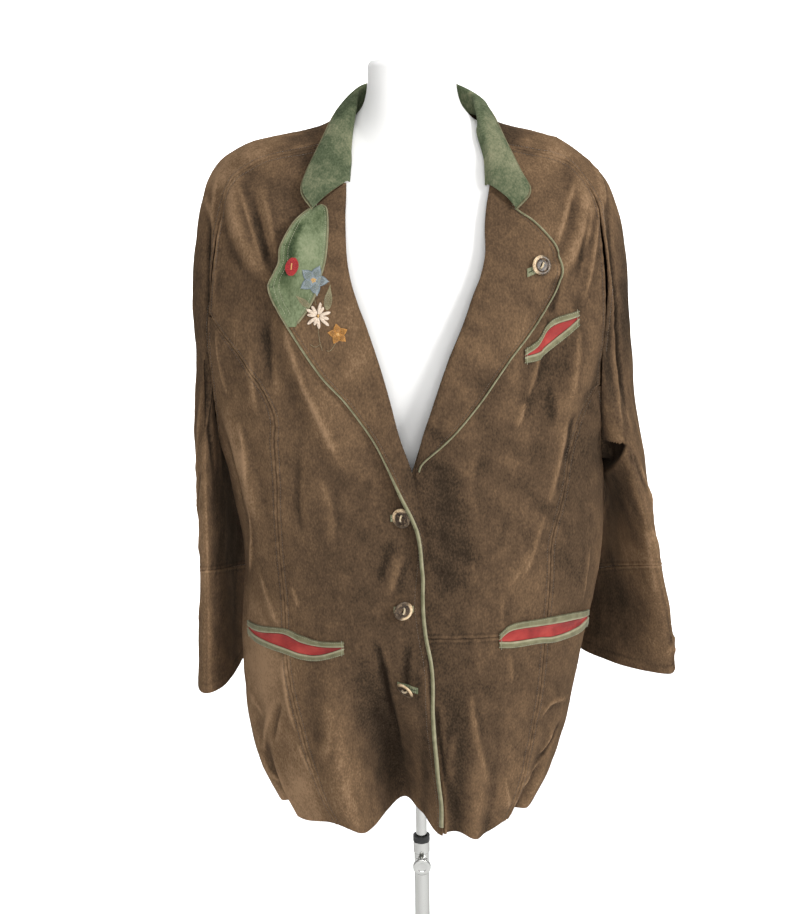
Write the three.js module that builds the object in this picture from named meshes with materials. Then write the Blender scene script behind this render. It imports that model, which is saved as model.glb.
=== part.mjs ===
// A trachten jacket of brown suede, worn open at the neck on a limbless dress form.
// Millimetres, +Z up. The origin is on the floor, under the middle of the post.
// The jacket faces -Y, so the wearer's left side is at +X and the right side at -X.
import * as THREE from "three";

// ---------- driving sizes ----------
const SUEDE = 1.6; // wall of the cloth
const TRIM = 1.2; // wall of the welts, bindings and the leaf
const SEAM_GAP = 0.3; // half of the room between two pieces at a seam
const CLEAR = 0.7; // room between a piece and the one that it lies on
const SQUARE = 2.3; // how square the ovals are: 2 is an ellipse
const DIP = 1.7; // how a ring falls from the shoulder to the chest
const HEM = 592; // height of the jacket's hem
const NECK = 1433; // level of the neck seam
const UNDERARM = 1047; // level of the bottom of the armholes
const SLEEVE_TOP = 1175; // level where the sleeve's closed tube starts
const SIDE_SEAM = 93; // degrees round from the front
const PIPING = 4; // width of the pale piping
const BUTTON = { radius: 11.5, thick: 2.4, bevel: 0.7, hole: 1.7, apart: 3.4 };
const CORD = 1.1; // radius of a button's cord
const TUBE = { outer: 9.5, bore: 7.6, rod: 7.0 };
const BASE = { radius: 180, thick: 8 };

// ---------- materials ----------
const finish = (color, roughness, metalness = 0) =>
  new THREE.MeshStandardMaterial({ color, roughness, metalness });
const brownSuede = finish(0x604c3c, 0.95);
const greenSuede = finish(0x6e7d57, 0.95);
const paleGreen = finish(0xa9ab84, 0.9);
const redCloth = finish(0xb03028, 0.9);
const horn = finish(0x3a2c24, 0.35);
const creamCord = finish(0xd8c8a0, 0.8);
const whiteCover = finish(0xf0eeea, 0.7);
const chrome = finish(0xd0d2d4, 0.12, 1);
const blackRubber = finish(0x202020, 0.7);

// ---------- small helpers ----------
const jacketOnForm = new THREE.Group();
const radians = THREE.MathUtils.degToRad;
const degrees = THREE.MathUtils.radToDeg;
const mix = THREE.MathUtils.lerp;
const smooth = (from, to, at) => THREE.MathUtils.smoothstep(at, from, to);

function add(name, geometry, material) {
  const mesh = new THREE.Mesh(geometry, material);
  mesh.name = name;
  jacketOnForm.add(mesh);
  return mesh;
}

// A smooth curve through a table's rows, read at a value of its first column.
function read(table, at) {
  const rows = table.rows;
  const last = rows.length - 1;
  const key = THREE.MathUtils.clamp(at, rows[0][0], rows[last][0]);
  let k = 0;
  while (k < last - 1 && rows[k + 1][0] <= key) k += 1;
  const step = rows[k + 1][0] - rows[k][0];
  const t = (key - rows[k][0]) / step;
  const slope = (row, column) => {
    const before = rows[Math.max(row - 1, 0)];
    const after = rows[Math.min(row + 1, last)];
    return (after[column] - before[column]) / (after[0] - before[0]);
  };
  const out = {};
  table.columns.forEach((column, c) => {
    const [a, b] = [rows[k][c], rows[k + 1][c]];
    const [m, n] = [slope(k, c) * step, slope(k + 1, c) * step];
    const [t2, t3] = [t * t, t * t * t];
    out[column] =
      (2 * t3 - 3 * t2 + 1) * a + (t3 - 2 * t2 + t) * m + (3 * t2 - 2 * t3) * b + (t3 - t2) * n;
  });
  return out;
}

// A point of an oval ring: angle 0 is the front, 90 the wearer's left, 180 the back.
function ovalPoint(ring, angle, level) {
  const [s, c] = [Math.sin(radians(angle)), Math.cos(radians(angle))];
  const power = 2 / SQUARE;
  const width = s > 0 ? ring.left : ring.right;
  const depth = c > 0 ? -ring.front : ring.back;
  const fall = (c > 0 ? ring.frontZ : ring.backZ) - level;
  return new THREE.Vector3(
    width * Math.sign(s) * Math.abs(s) ** power,
    ring.middleY + depth * Math.abs(c) ** power,
    level + fall * Math.abs(c) ** DIP
  );
}

// The outward direction of a surface, from points a little to each side.
function outward(surface, a, b, stepA, stepB) {
  const along = surface(a + stepA, b).sub(surface(a - stepA, b));
  const up = surface(a, b + stepB).sub(surface(a, b - stepB));
  return along.cross(up).normalize();
}

// A closed wall of cloth from rows of points and outward directions. Where hasCell says so,
// four points make a cell. The wall lies between the points and a thickness behind them.
function wall({ points, normals, thickness, closed = false, hasCell = () => true }) {
  const rows = points.length;
  const columns = points[0].length;
  const spans = closed ? columns : columns - 1;
  const ids = new Map();
  const positions = [];
  const index = [];
  const id = (row, column, side) => {
    const wrapped = column % columns;
    const key = `${row},${wrapped},${side}`;
    if (!ids.has(key)) {
      const p = points[row][wrapped].clone();
      if (side) p.addScaledVector(normals[row][wrapped], -thickness);
      ids.set(key, positions.length / 3);
      positions.push(p.x, p.y, p.z);
    }
    return ids.get(key);
  };
  const there = (row, column) => {
    const wrapped = closed ? (column + spans) % spans : column;
    const inside = row >= 0 && row < rows - 1 && wrapped >= 0 && wrapped < spans;
    return inside && hasCell(row, wrapped);
  };
  const rim = (r0, c0, r1, c1) => {
    const [a, b] = [id(r0, c0, 0), id(r1, c1, 0)];
    const [d, e] = [id(r0, c0, 1), id(r1, c1, 1)];
    index.push(b, a, d, b, d, e);
  };
  for (let r = 0; r < rows - 1; r += 1) {
    for (let c = 0; c < spans; c += 1) {
      if (!there(r, c)) continue;
      const outer = [id(r, c, 0), id(r, c + 1, 0), id(r + 1, c + 1, 0), id(r + 1, c, 0)];
      const inner = [id(r, c, 1), id(r, c + 1, 1), id(r + 1, c + 1, 1), id(r + 1, c, 1)];
      index.push(outer[0], outer[1], outer[2], outer[0], outer[2], outer[3]);
      index.push(inner[2], inner[1], inner[0], inner[3], inner[2], inner[0]);
      if (!there(r - 1, c)) rim(r, c, r, c + 1);
      if (!there(r + 1, c)) rim(r + 1, c + 1, r + 1, c);
      if (!there(r, c - 1)) rim(r + 1, c, r, c);
      if (!there(r, c + 1)) rim(r, c + 1, r + 1, c + 1);
    }
  }
  const geometry = new THREE.BufferGeometry();
  geometry.setAttribute("position", new THREE.Float32BufferAttribute(positions, 3));
  geometry.setIndex(index);
  return geometry;
}

// ---------- the body of the jacket as one worn surface ----------
// A level is a ring's height at the side. Widths are from the middle to the wearer's right
// and left. Above the underarm the oval takes in the sleeve head.
const body = {
  columns: ["level", "frontZ", "backZ", "right", "left", "front", "back", "middleY"],
  rows: [
    [590, 586, 592, 182, 146, 150, 135, -4],
    [640, 638, 640, 202, 166, 154, 138, -4],
    [690, 690, 690, 211, 180, 156, 140, -4],
    [745, 745, 745, 215, 192, 158, 140, -4],
    [800, 800, 800, 219, 203, 158, 139, -4],
    [860, 860, 860, 215, 214, 158, 137, -4],
    [905, 905, 905, 211, 222, 157, 136, -3],
    [960, 960, 960, 216, 225, 156, 135, -2],
    [1010, 1010, 1010, 225, 224, 154, 134, 0],
    [1050, 1050, 1050, 233, 221, 152, 133, 2],
    [1100, 1098, 1100, 246, 231, 151, 132, 4],
    [1150, 1145, 1150, 257, 243, 149, 131, 6],
    [1200, 1188, 1198, 262, 248, 147, 130, 7],
    [1260, 1230, 1252, 261, 250, 141, 126, 8],
    [1310, 1262, 1298, 255, 244, 132, 118, 8],
    [1350, 1287, 1334, 244, 231, 121, 108, 8],
    [1375, 1304, 1357, 233, 212, 111, 100, 8],
    [1390, 1316, 1372, 219, 197, 102, 93, 8],
    [1400, 1326, 1384, 202, 183, 95, 87, 8],
    [1408, 1335, 1395, 186, 165, 89, 81, 8],
    [1414, 1345, 1404, 164, 142, 82, 75, 8],
    [1418.5, 1354, 1413, 140, 121, 76, 69, 8],
    [1425, 1366, 1425, 112, 98, 68, 62, 8],
    [1434, 1378, 1441, 88, 85, 60, 56, 8],
  ],
};

// Largest folds, from their top to their low end. A positive height stands out, a negative one
// is a trough. An end share of 1 runs out at the hem, and 0 dies away.
const folds = {
  columns: ["topLevel", "topAngle", "lowLevel", "lowAngle", "halfWidth", "height", "endShare"],
  rows: [
    [850, -13, 590, -6, 15, -84, 1], // deep trough beside the right front edge
    [900, -24, 590, -24, 12, 12, 1], // ridge beside that trough
    [1400, -66, 1290, -37, 8, 8, 0], // from the right shoulder to the lapel
    [1260, -32, 1040, -14, 10, 7, 0], // below the right lapel
    [1130, -60, 930, -56, 9, 8, 0],
    [790, -66, 590, -62, 9, -12, 1], // near the right hem corner
    [1395, 67, 1290, 36, 8, 8, 0], // from the left shoulder to the lapel
    [1340, 60, 1000, 38, 11, 9, 0], // long ridge down the left front
    [1290, 34, 1090, 31, 10, -6, 0], // beside it, from under the lapel
    [800, 15, 590, 19, 10, 13, 1],
    [760, 56, 590, 50, 9, -10, 1],
    [1230, 140, 590, 150, 14, 10, 1], // soft folds of the back
    [1100, 165, 590, 170, 11, -11, 1],
    [1200, 192, 590, 196, 13, 10, 1],
    [1260, 222, 760, 214, 12, -9, 0],
  ],
};
const foldRows = folds.rows.map((row) =>
  Object.fromEntries(folds.columns.map((column, c) => [column, row[c]]))
);
const TROUGH_RISE = 0.2; // how much of a trough's depth the hem rises there

// How far the hem rises round the body, by angle from the front.
const hemRise = {
  columns: ["angle", "rise"],
  rows: [
    [-180, 0],
    [-110, 4],
    [-66, 15],
    [-50, 11],
    [-35, 20],
    [-25, 25],
    [-15, 8],
    [-9, 0],
    [2, 2],
    [13, 15],
    [25, 6],
    [41, 15],
    [55, 14],
    [85, 10],
    [120, 4],
    [180, 0],
  ],
};
const RISE_TOP = 700; // level above which the hem's rise has no effect

function foldHeight(angle, level) {
  let height = 0;
  for (const fold of foldRows) {
    const down = (fold.topLevel - level) / (fold.topLevel - fold.lowLevel);
    if (down <= 0 || (down >= 1 && fold.endShare === 0)) continue;
    const run = Math.min(down, 1);
    const middle = mix(fold.topAngle, fold.lowAngle, run);
    const turned = ((((angle - middle + 180) % 360) + 360) % 360) - 180;
    const across = Math.min(Math.abs(turned) / fold.halfWidth, 1);
    const bell = Math.cos((across * Math.PI) / 2) ** 2;
    const along = mix(Math.sin(run * Math.PI), smooth(0, 1, run), fold.endShare);
    height += fold.height * bell * along;
  }
  return height;
}

const smoothBody = (angle, level) => ovalPoint(read(body, level), angle, level);
const ANGLE_STEP = 0.4;
const LEVEL_STEP = 0.8;

function foldedBody(angle, level) {
  const point = smoothBody(angle, level);
  const turned = ((((angle + 180) % 360) + 360) % 360) - 180;
  if (level < RISE_TOP) {
    const share = Math.min((RISE_TOP - level) / (RISE_TOP - HEM), 1);
    point.z += read(hemRise, turned).rise * share ** 1.5;
  }
  const height = foldHeight(angle, level);
  if (height === 0) return point;
  const facing = outward(smoothBody, angle, level, ANGLE_STEP, LEVEL_STEP);
  point.addScaledVector(facing, height);
  if (height < 0) point.z -= height * TROUGH_RISE;
  return point;
}

const bodyFacing = (angle, level) =>
  outward(foldedBody, angle, level, ANGLE_STEP, LEVEL_STEP);

function onBody(angle, level, lift = 0) {
  return foldedBody(angle, level).addScaledVector(bodyFacing(angle, level), lift);
}

// The place on the body that is at x and z when seen from straight in front.
function fromFront(x, z) {
  let level = z;
  let angle = 0;
  for (let turn = 0; turn < 40; turn += 1) {
    const ring = read(body, level);
    const share = Math.min(Math.abs(x) / (x > 0 ? ring.left : ring.right), 0.999);
    angle = Math.sign(x) * degrees(Math.asin(share ** (SQUARE / 2)));
    level += (z - ovalPoint(ring, angle, level).z) * 0.45;
  }
  return { angle, level };
}

// ---------- seam lines ----------
// Where the front edges lie, by height: the roll line above and the closing edge below.
const frontEdges = {
  columns: ["z", "right", "left"],
  rows: [
    [590, 23, -19],
    [640, 23, -20],
    [695, 17, -26],
    [755, 14, -29],
    [800, 14, -29],
    [827, 12, -31],
    [855, 7, -35],
    [900, 3, -39],
    [960, 8, -35],
    [1000, 4, -26],
    [1030, -1, -14],
    [1060, -9, -4],
    [1092, -20, 6],
    [1137, -31, 21],
    [1180, -43, 36],
    [1220, -56, 53],
    [1250, -67, 64],
    [1284, -75, 78],
    [1320, -77, 79],
    [1345, -77, 82],
    [1372, -76, 88],
    [1400, -80, 86],
    [1430, -86, 82],
  ],
};

// Armholes and shoulder seams, by level: angles from the front on each side.
const armholes = {
  columns: ["level", "right", "left", "back"],
  rows: [
    [1045, 93, 93, 93],
    [1060, 81, 80, 105],
    [1090, 74, 71, 111],
    [1130, 68, 62, 116],
    [1175, 65, 58, 119],
    [1240, 62, 56, 120],
    [1300, 60, 58, 121],
    [1335, 61, 61, 120],
    [1360, 63, 65, 118],
    [1380, 65, 67, 115],
    [1395, 67, 69, 113],
    [1410, 66, 66, 115],
    [1425, 61, 61, 119],
    [1440, 58, 58, 122],
  ],
};

// Long seams of the fronts, by level, up to where each runs into its armhole.
const frontSeams = {
  columns: ["level", "right", "left"],
  rows: [
    [590, 29, 41],
    [650, 33, 42],
    [735, 39, 43.5],
    [800, 42.5, 43],
    [870, 45, 40.5],
    [915, 46.5, 40],
    [960, 45.5, 40.5],
    [1000, 44, 45],
    [1040, 42, 49],
    [1080, 40, 51],
    [1110, 38, 53],
    [1140, 40, 60],
    [1180, 47, 60],
    [1215, 57, 60],
    [1240, 66, 60],
  ],
};
const SEAM_TOP = { right: 1226, left: 1134 }; // levels where they reach the armholes
const SIDE_TOP = { right: 1214, left: 1124 }; // levels where the side fronts end
const HIP_SEAM = 853; // level of the seam across the left front
const SIDES = { right: -1, left: 1 };
const armholeAt = (side, level) => SIDES[side] * read(armholes, level)[side];
const backAt = (side, level) => SIDES[side] * read(armholes, level).back;
const seamAt = (side, level) => SIDES[side] * read(frontSeams, level)[side];

// The neck seams of the fronts, by level: angles from the front, from where the roll starts.
const neckSeams = {
  right: { columns: ["level", "angle"], rows: [[1417, 28.5], [1422, 36], [1427, 44], [1434, 57]] },
  left: { columns: ["level", "angle"], rows: [[1412, 31], [1418, 41], [1424, 53], [1434, 65]] },
};
const FRONT_TOP = { right: NECK, left: 1425 };

// The angle at which a ring meets the front edge, or the neck seam higher up.
function edgeAt(side, level) {
  const neck = neckSeams[side];
  const start = neck.rows[0][0];
  if (level >= start) return SIDES[side] * read(neck, level).angle;
  let [low, high] = [-70, 70];
  for (let turn = 0; turn < 30; turn += 1) {
    const angle = (low + high) / 2;
    const point = smoothBody(angle, level);
    if (point.x < read(frontEdges, point.z)[side]) low = angle;
    else high = angle;
  }
  return (low + high) / 2;
}

// ---------- fronts, side fronts and back ----------
const LEVELS = [
  590, 618, 650, 688, 730, 772, 812, 850, 892, 934, 972, 1010, 1047, 1080, 1112, 1146, 1180, 1220,
  1262, 1302, 1336, 1362, 1382, 1397, 1408, 1417, 1425, 1433,
];
// How far the left front lies under the right one, and over how many degrees beyond that one's
// edge and how many levels this dies away.
const UNDER = { lift: -2 * (SUEDE + CLEAR), turn: [3, 16], levels: [1080, 1200] };
function underLift(angle, level) {
  const beyond = angle - edgeAt("right", level);
  return UNDER.lift * (1 - smooth(...UNDER.turn, beyond)) * (1 - smooth(...UNDER.levels, level));
}

const BODY_RADIUS = 150;
const SEAM_TURN = degrees(SEAM_GAP / BODY_RADIUS); // the seam gap as an angle round the body

// A panel of the body between seam lines. Each line gives an angle for a level, and there is
// a number of cells between each line and the next.
function panel(name, { lines, cells, low, high, lift = () => 0 }) {
  const inside = LEVELS.filter((level) => level > low + 6 && level < high - 5);
  const levels = [low + SEAM_GAP, ...inside, high - SEAM_GAP];
  const points = levels.map(() => []);
  const normals = levels.map(() => []);
  levels.forEach((level, row) => {
    const stops = lines.map((line) => line(level));
    stops[0] += SEAM_TURN;
    stops[stops.length - 1] -= SEAM_TURN;
    const angles = [stops[0]];
    cells.forEach((count, part) => {
      for (let c = 1; c <= count; c += 1) angles.push(mix(stops[part], stops[part + 1], c / count));
    });
    for (const angle of angles) {
      points[row].push(onBody(angle, level, lift(angle, level)));
      normals[row].push(bodyFacing(angle, level));
    }
  });
  add(name, wall({ points, normals, thickness: SUEDE }), brownSuede);
}

const outerEdge = (side, level) =>
  level < SEAM_TOP[side] ? seamAt(side, level) : armholeAt(side, level);
const sideEdge = (side, level) =>
  level < UNDERARM ? SIDES[side] * SIDE_SEAM : armholeAt(side, level);
const backEdge = (side, level) =>
  level < UNDERARM ? SIDES[side] * SIDE_SEAM : backAt(side, level);
const LEAST_TURN = 4; // least angle between a front's edge and its first inner line
const rightInner = (level) =>
  Math.min(edgeAt("left", level), edgeAt("right", level) - LEAST_TURN);
const leftInner = (level) =>
  Math.max(edgeAt("right", level), edgeAt("left", level) + LEAST_TURN);

panel("right_front", {
  lines: [(level) => outerEdge("right", level), rightInner, (level) => edgeAt("right", level)],
  cells: [6, 4],
  low: HEM,
  high: FRONT_TOP.right,
});
panel("right_side_front", {
  lines: [(level) => sideEdge("right", level), (level) => seamAt("right", level)],
  cells: [4],
  low: HEM,
  high: SIDE_TOP.right,
});
panel("left_lower_front", {
  lines: [(level) => edgeAt("left", level), leftInner, (level) => seamAt("left", level)],
  cells: [4, 5],
  low: HEM,
  high: HIP_SEAM,
  lift: underLift,
});
panel("left_upper_front", {
  lines: [(level) => edgeAt("left", level), leftInner, (level) => outerEdge("left", level)],
  cells: [4, 6],
  low: HIP_SEAM,
  high: FRONT_TOP.left,
  lift: underLift,
});
panel("left_side_front", {
  lines: [(level) => seamAt("left", level), (level) => sideEdge("left", level)],
  cells: [4],
  low: HEM,
  high: SIDE_TOP.left,
});
const middleBack = () => 180;
panel("left_back", {
  lines: [(level) => backEdge("left", level), middleBack],
  cells: [6],
  low: HEM,
  high: NECK,
});
panel("right_back", {
  lines: [middleBack, (level) => 360 + backEdge("right", level)],
  cells: [6],
  low: HEM,
  high: NECK,
});

// ---------- sleeves, cut in one with the shoulder strips, and cuffs ----------
// Sections by height: the middle, half the thickness, half the breadth, and the turn that
// brings the sleeve's front edge outwards.
const sleeveTables = {
  right: {
    columns: ["z", "x", "y", "thick", "broad", "turn"],
    rows: [
      [735, -251, 18, 19, 75, 13],
      [800, -251, 19, 19, 78, 9],
      [885, -250, 20, 17, 84, 5],
      [960, -250, 21, 16, 91, 2],
      [1045, -250, 20, 14, 95, 0],
      [1180, -245, 14, 19, 86, 0],
    ],
  },
  left: {
    columns: ["z", "x", "y", "thick", "broad", "turn"],
    rows: [
      [745, 263, 34, 22, 76, 46],
      [790, 262, 33, 22, 79, 38],
      [840, 264, 30, 21, 82, 27],
      [885, 263, 28, 20, 85, 18],
      [960, 260, 24, 20, 92, 8],
      [1045, 250, 20, 24, 95, 2],
      [1180, 236, 14, 28, 86, 0],
    ],
  },
};
const CUFF_SEAM = { right: 884, left: 874 };
const CUFF_HEM = { right: 744, left: 748 };
const CUFF_TILT = { right: 0.3, left: 0.38 }; // how much a cuff's seam rises to the front, per millimetre
const CUFF_DROP = { right: 0, left: 9 }; // how far a cuff's hem hangs lower on its outside
const OUTER_CELLS = 10; // round the outside of a sleeve, and on over the shoulder
const INNER_CELLS = 8; // round the inside, below the armhole
const STRIP_LEVELS = LEVELS.filter((level) => level > SLEEVE_TOP + 20);
const TUBE_ROWS = 7;
const BLEND = 0.5; // share of the sleeve's length over which it takes its own section
const SLEEVE_LIFT = 0.9; // keeps its inner wall off the body at the armhole

// A point of a sleeve's section. Round 0 is its front, 0.5 its outside and 1 its back.
function sectionPoint(side, z, round) {
  const section = read(sleeveTables[side], z);
  const angle = (round - 0.5) * Math.PI;
  const out = section.thick * Math.cos(angle);
  const back = section.broad * Math.sin(angle);
  const turn = radians(section.turn);
  const x = out * Math.cos(turn) - back * Math.sin(turn);
  const y = out * Math.sin(turn) + back * Math.cos(turn);
  return new THREE.Vector3(section.x + SIDES[side] * x, section.y + y, z);
}

function cuffSeam(side, round) {
  const level = CUFF_SEAM[side];
  const back = sectionPoint(side, level, round).y - read(sleeveTables[side], level).y;
  return level - CUFF_TILT[side] * back;
}
const cuffHem = (side, round) =>
  CUFF_HEM[side] - CUFF_DROP[side] * Math.max(Math.sin(round * Math.PI), 0);

// Where the tube starts: round the outside at one level, and down the armhole inside.
function tubeStart(side, round) {
  const wrapped = ((round % 2) + 2) % 2;
  if (wrapped <= 1) {
    const gap = SEAM_TURN * SIDES[side];
    const front = armholeAt(side, SLEEVE_TOP) + gap;
    const back = backAt(side, SLEEVE_TOP) - gap;
    return onBody(mix(front, back, wrapped), SLEEVE_TOP);
  }
  const down = Math.abs(wrapped - 1.5) * 2;
  const level = mix(UNDERARM, SLEEVE_TOP, down ** 1.3);
  const angle = wrapped < 1.5 ? backAt(side, level) : armholeAt(side, level);
  return onBody(angle, level, SLEEVE_LIFT);
}

function sleevePoint(side, round, down) {
  const start = tubeStart(side, round);
  const z = mix(start.z, cuffSeam(side, round), down);
  const own = sectionPoint(side, z, round);
  return start.lerp(own, smooth(0, BLEND, down)).setZ(z);
}

function sleeveFacing(side, round, down) {
  const surface = (a, b) => sleevePoint(side, a, b);
  return outward(surface, round, Math.max(down, 0.02), 0.02, 0.015).multiplyScalar(-SIDES[side]);
}

function sleeve(side) {
  const columns = OUTER_CELLS + INNER_CELLS;
  const points = [];
  const normals = [];
  for (const level of [...STRIP_LEVELS].reverse()) {
    const top = level === NECK ? SEAM_GAP : 0;
    const gap = SEAM_TURN * SIDES[side];
    const [front, back] = [armholeAt(side, level) + gap, backAt(side, level) - gap];
    const row = [];
    const facing = [];
    for (let c = 0; c < columns; c += 1) {
      const angle = mix(front, back, Math.min(c / OUTER_CELLS, 1));
      row.push(onBody(angle, level - top));
      facing.push(bodyFacing(angle, level - top));
    }
    points.push(row);
    normals.push(facing);
  }
  const strips = points.length;
  for (let r = 0; r <= TUBE_ROWS; r += 1) {
    const down = r / TUBE_ROWS;
    const row = [];
    const facing = [];
    for (let c = 0; c < columns; c += 1) {
      const inner = (c - OUTER_CELLS) / INNER_CELLS;
      const round = c <= OUTER_CELLS ? c / OUTER_CELLS : 1 + inner;
      row.push(sleevePoint(side, round, down));
      facing.push(sleeveFacing(side, round, down));
    }
    points.push(row);
    normals.push(facing);
  }
  const hasCell = (row, column) => row >= strips || column < OUTER_CELLS;
  return { points, normals, hasCell };
}

// Turns a grid over where its columns run the other way round.
function facingOut(geometry) {
  const at = geometry.attributes.position;
  const index = geometry.index.array;
  let volume = 0;
  const [a, b, c] = [new THREE.Vector3(), new THREE.Vector3(), new THREE.Vector3()];
  for (let i = 0; i < index.length; i += 3) {
    a.fromBufferAttribute(at, index[i]);
    b.fromBufferAttribute(at, index[i + 1]);
    c.fromBufferAttribute(at, index[i + 2]);
    volume += a.dot(b.clone().cross(c));
  }
  if (volume < 0) {
    for (let i = 0; i < index.length; i += 3) {
      [index[i + 1], index[i + 2]] = [index[i + 2], index[i + 1]];
    }
  }
  return geometry;
}

for (const side of ["right", "left"]) {
  const made = wall({ ...sleeve(side), thickness: SUEDE, closed: true });
  add(`${side}_sleeve`, facingOut(made), brownSuede);
}

const CUFF_ROWS = 3;
for (const side of ["right", "left"]) {
  const points = [];
  const normals = [];
  const columns = 16;
  for (let r = 0; r <= CUFF_ROWS; r += 1) {
    const around = [];
    const facing = [];
    for (let c = 0; c < columns; c += 1) {
      const round = (2 * c) / columns;
      const z = mix(cuffSeam(side, round) - 2 * SEAM_GAP, cuffHem(side, round), r / CUFF_ROWS);
      const surface = (a, b) => sectionPoint(side, b, a);
      around.push(sectionPoint(side, z, round));
      facing.push(outward(surface, round, z, 0.02, 4).multiplyScalar(SIDES[side]));
    }
    points.push(around);
    normals.push(facing);
  }
  const made = wall({ points, normals, thickness: SUEDE, closed: true });
  add(`${side}_cuff`, facingOut(made), brownSuede);
}

// ---------- lapels, turned back on the fronts ----------
// Rows from the low end up to the gorge seam, as seen from in front: the roll, the outer edge,
// and how far that edge stands off the front.
const lapelColumns = ["row", "rollX", "rollZ", "edgeX", "edgeZ", "stand"];
const lapels = {
  right: {
    columns: lapelColumns,
    rows: [
      [0, 8, 945, 3, 943, 3],
      [1, 6, 985, -2, 986, 7],
      [2, -1, 1029, -21, 1030, 9],
      [3, -9, 1060, -37, 1065, 3],
      [4, -20, 1092, -52, 1093, 0],
      [5, -31, 1137, -80, 1132, 0],
      [6, -43, 1176, -106, 1162, 0],
      [7, -56, 1218, -139, 1212, 1],
      [8, -66, 1248, -155, 1240, 5],
      [9, -73, 1272, -160, 1262, 9],
      [10, -76, 1294, -149, 1282, 11],
      [11, -77, 1315, -147, 1300, 10],
      [12, -77, 1336, -136, 1322, 7],
      [13, -76, 1354, -125, 1334, 4],
      [14, -76, 1369, -113, 1343, 1],
    ],
  },
  left: {
    columns: lapelColumns,
    rows: [
      [0, -3, 1052, -2, 1045, 0],
      [1, 5, 1090, 37, 1091, 0],
      [2, 21, 1136, 73, 1133, 0],
      [3, 37, 1180, 106, 1180, 0],
      [4, 53, 1219, 141, 1224, 0],
      [5, 64, 1248, 159, 1252, 0],
      [6, 72, 1268, 163, 1275, 0],
      [7, 78, 1290, 158, 1295, 0],
      [8, 79, 1310, 147, 1310, 0],
      [9, 80, 1328, 132, 1325, 0],
      [10, 83, 1345, 121, 1332, 0],
      [11, 85, 1357, 113, 1338, 0],
    ],
  },
};
const LAPEL_CELLS = 4;
const liftOf = (side, place) => (side === "left" ? underLift(place.angle, place.level) : 0);

// A place on a lapel: share 0 is on its roll and 1 on its outer edge.
function lapelPlace(side, row, share, lift = 0) {
  const at = read(lapels[side], row);
  const place = fromFront(mix(at.rollX, at.edgeX, share), mix(at.rollZ, at.edgeZ, share));
  const stand = 2 * CLEAR + SUEDE + at.stand * Math.max(share, 0) ** 2 + lift;
  return {
    point: onBody(place.angle, place.level, stand + liftOf(side, place)),
    facing: bodyFacing(place.angle, place.level),
  };
}

for (const side of ["right", "left"]) {
  const rows = lapels[side].rows.length - 1;
  const steps = Math.round(rows * 1.2);
  const points = [];
  const normals = [];
  for (let r = 0; r <= steps; r += 1) {
    const places = [];
    for (let c = 0; c <= LAPEL_CELLS; c += 1) {
      places.push(lapelPlace(side, (r / steps) * rows, c / LAPEL_CELLS));
    }
    points.push(places.map((place) => place.point));
    normals.push(places.map((place) => place.facing));
  }
  add(`${side}_lapel`, facingOut(wall({ points, normals, thickness: SUEDE })), brownSuede);
}

// ---------- the leaf on the right lapel ----------
// Shares of the lapel's width from its roll, at rows of the lapel.
const leaf = {
  columns: ["row", "inner", "outer"],
  rows: [
    [7.1, 0.87, 0.94],
    [7.6, 0.68, 0.95],
    [8.3, 0.48, 0.95],
    [9.2, 0.36, 0.95],
    [10, 0.34, 0.95],
    [11, 0.31, 0.94],
    [12, 0.37, 0.93],
    [12.8, 0.47, 0.87],
    [13.2, 0.58, 0.8],
  ],
};
{
  const points = [];
  const normals = [];
  const low = leaf.rows[0][0];
  const high = leaf.rows[leaf.rows.length - 1][0];
  const steps = 12;
  for (let r = 0; r <= steps; r += 1) {
    const row = mix(low, high, r / steps);
    const span = read(leaf, row);
    const places = [0, 0.5, 1].map((across) =>
      lapelPlace("right", row, mix(span.inner, span.outer, across), CLEAR + TRIM + 0.3)
    );
    points.push(places.map((place) => place.point));
    normals.push(places.map((place) => place.facing));
  }
  add("leaf_patch", facingOut(wall({ points, normals, thickness: TRIM })), greenSuede);
}

// ---------- strips that lie on the fronts ----------
// Each row has the two long edges as seen from in front, and how far the strip is lifted.
function strip(name, material, { columns, rows }, { lift, thickness, steps, across = 1 }) {
  const table = { columns: ["row", ...columns], rows: rows.map((row, r) => [r, ...row]) };
  const points = [];
  const normals = [];
  for (let r = 0; r <= steps; r += 1) {
    const at = read(table, (r / steps) * (rows.length - 1));
    const line = [];
    const facing = [];
    for (let c = 0; c <= across; c += 1) {
      const share = c / across;
      const place = fromFront(mix(at.x0, at.x1, share), mix(at.z0, at.z1, share));
      line.push(onBody(place.angle, place.level, lift + (at.lift ?? 0)));
      facing.push(bodyFacing(place.angle, place.level));
    }
    points.push(line);
    normals.push(facing);
  }
  add(name, facingOut(wall({ points, normals, thickness })), material);
}

// Pockets by x along the opening: heights of the four long edges, from the top down.
const pockets = {
  right_hip: {
    columns: ["x", "top", "mouthTop", "mouthLow", "low"],
    rows: [
      [-204, 847, 840, 838, 830],
      [-189, 850, 842, 835, 827],
      [-160, 856, 849, 832, 825],
      [-138, 852, 843, 829, 822],
      [-118, 849, 842, 831, 824],
      [-88, 851, 844, 843, 835],
    ],
  },
  left_hip: {
    columns: ["x", "top", "mouthTop", "mouthLow", "low"],
    rows: [
      [91, 858, 850, 848, 840],
      [106, 868, 860, 846, 838],
      [136, 869, 860, 845, 837],
      [157, 867, 857, 840, 832],
      [184, 861, 851, 839, 830],
      [203, 852, 843, 840, 829],
    ],
  },
  breast: {
    columns: ["x", "top", "mouthTop", "mouthLow", "low"],
    rows: [
      [122, 1190, 1181, 1180, 1172],
      [138, 1200, 1190, 1186, 1177],
      [150, 1215, 1207, 1193, 1184],
      [166, 1222, 1215, 1203, 1194],
      [184, 1226, 1219, 1217, 1208],
    ],
  },
};
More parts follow.
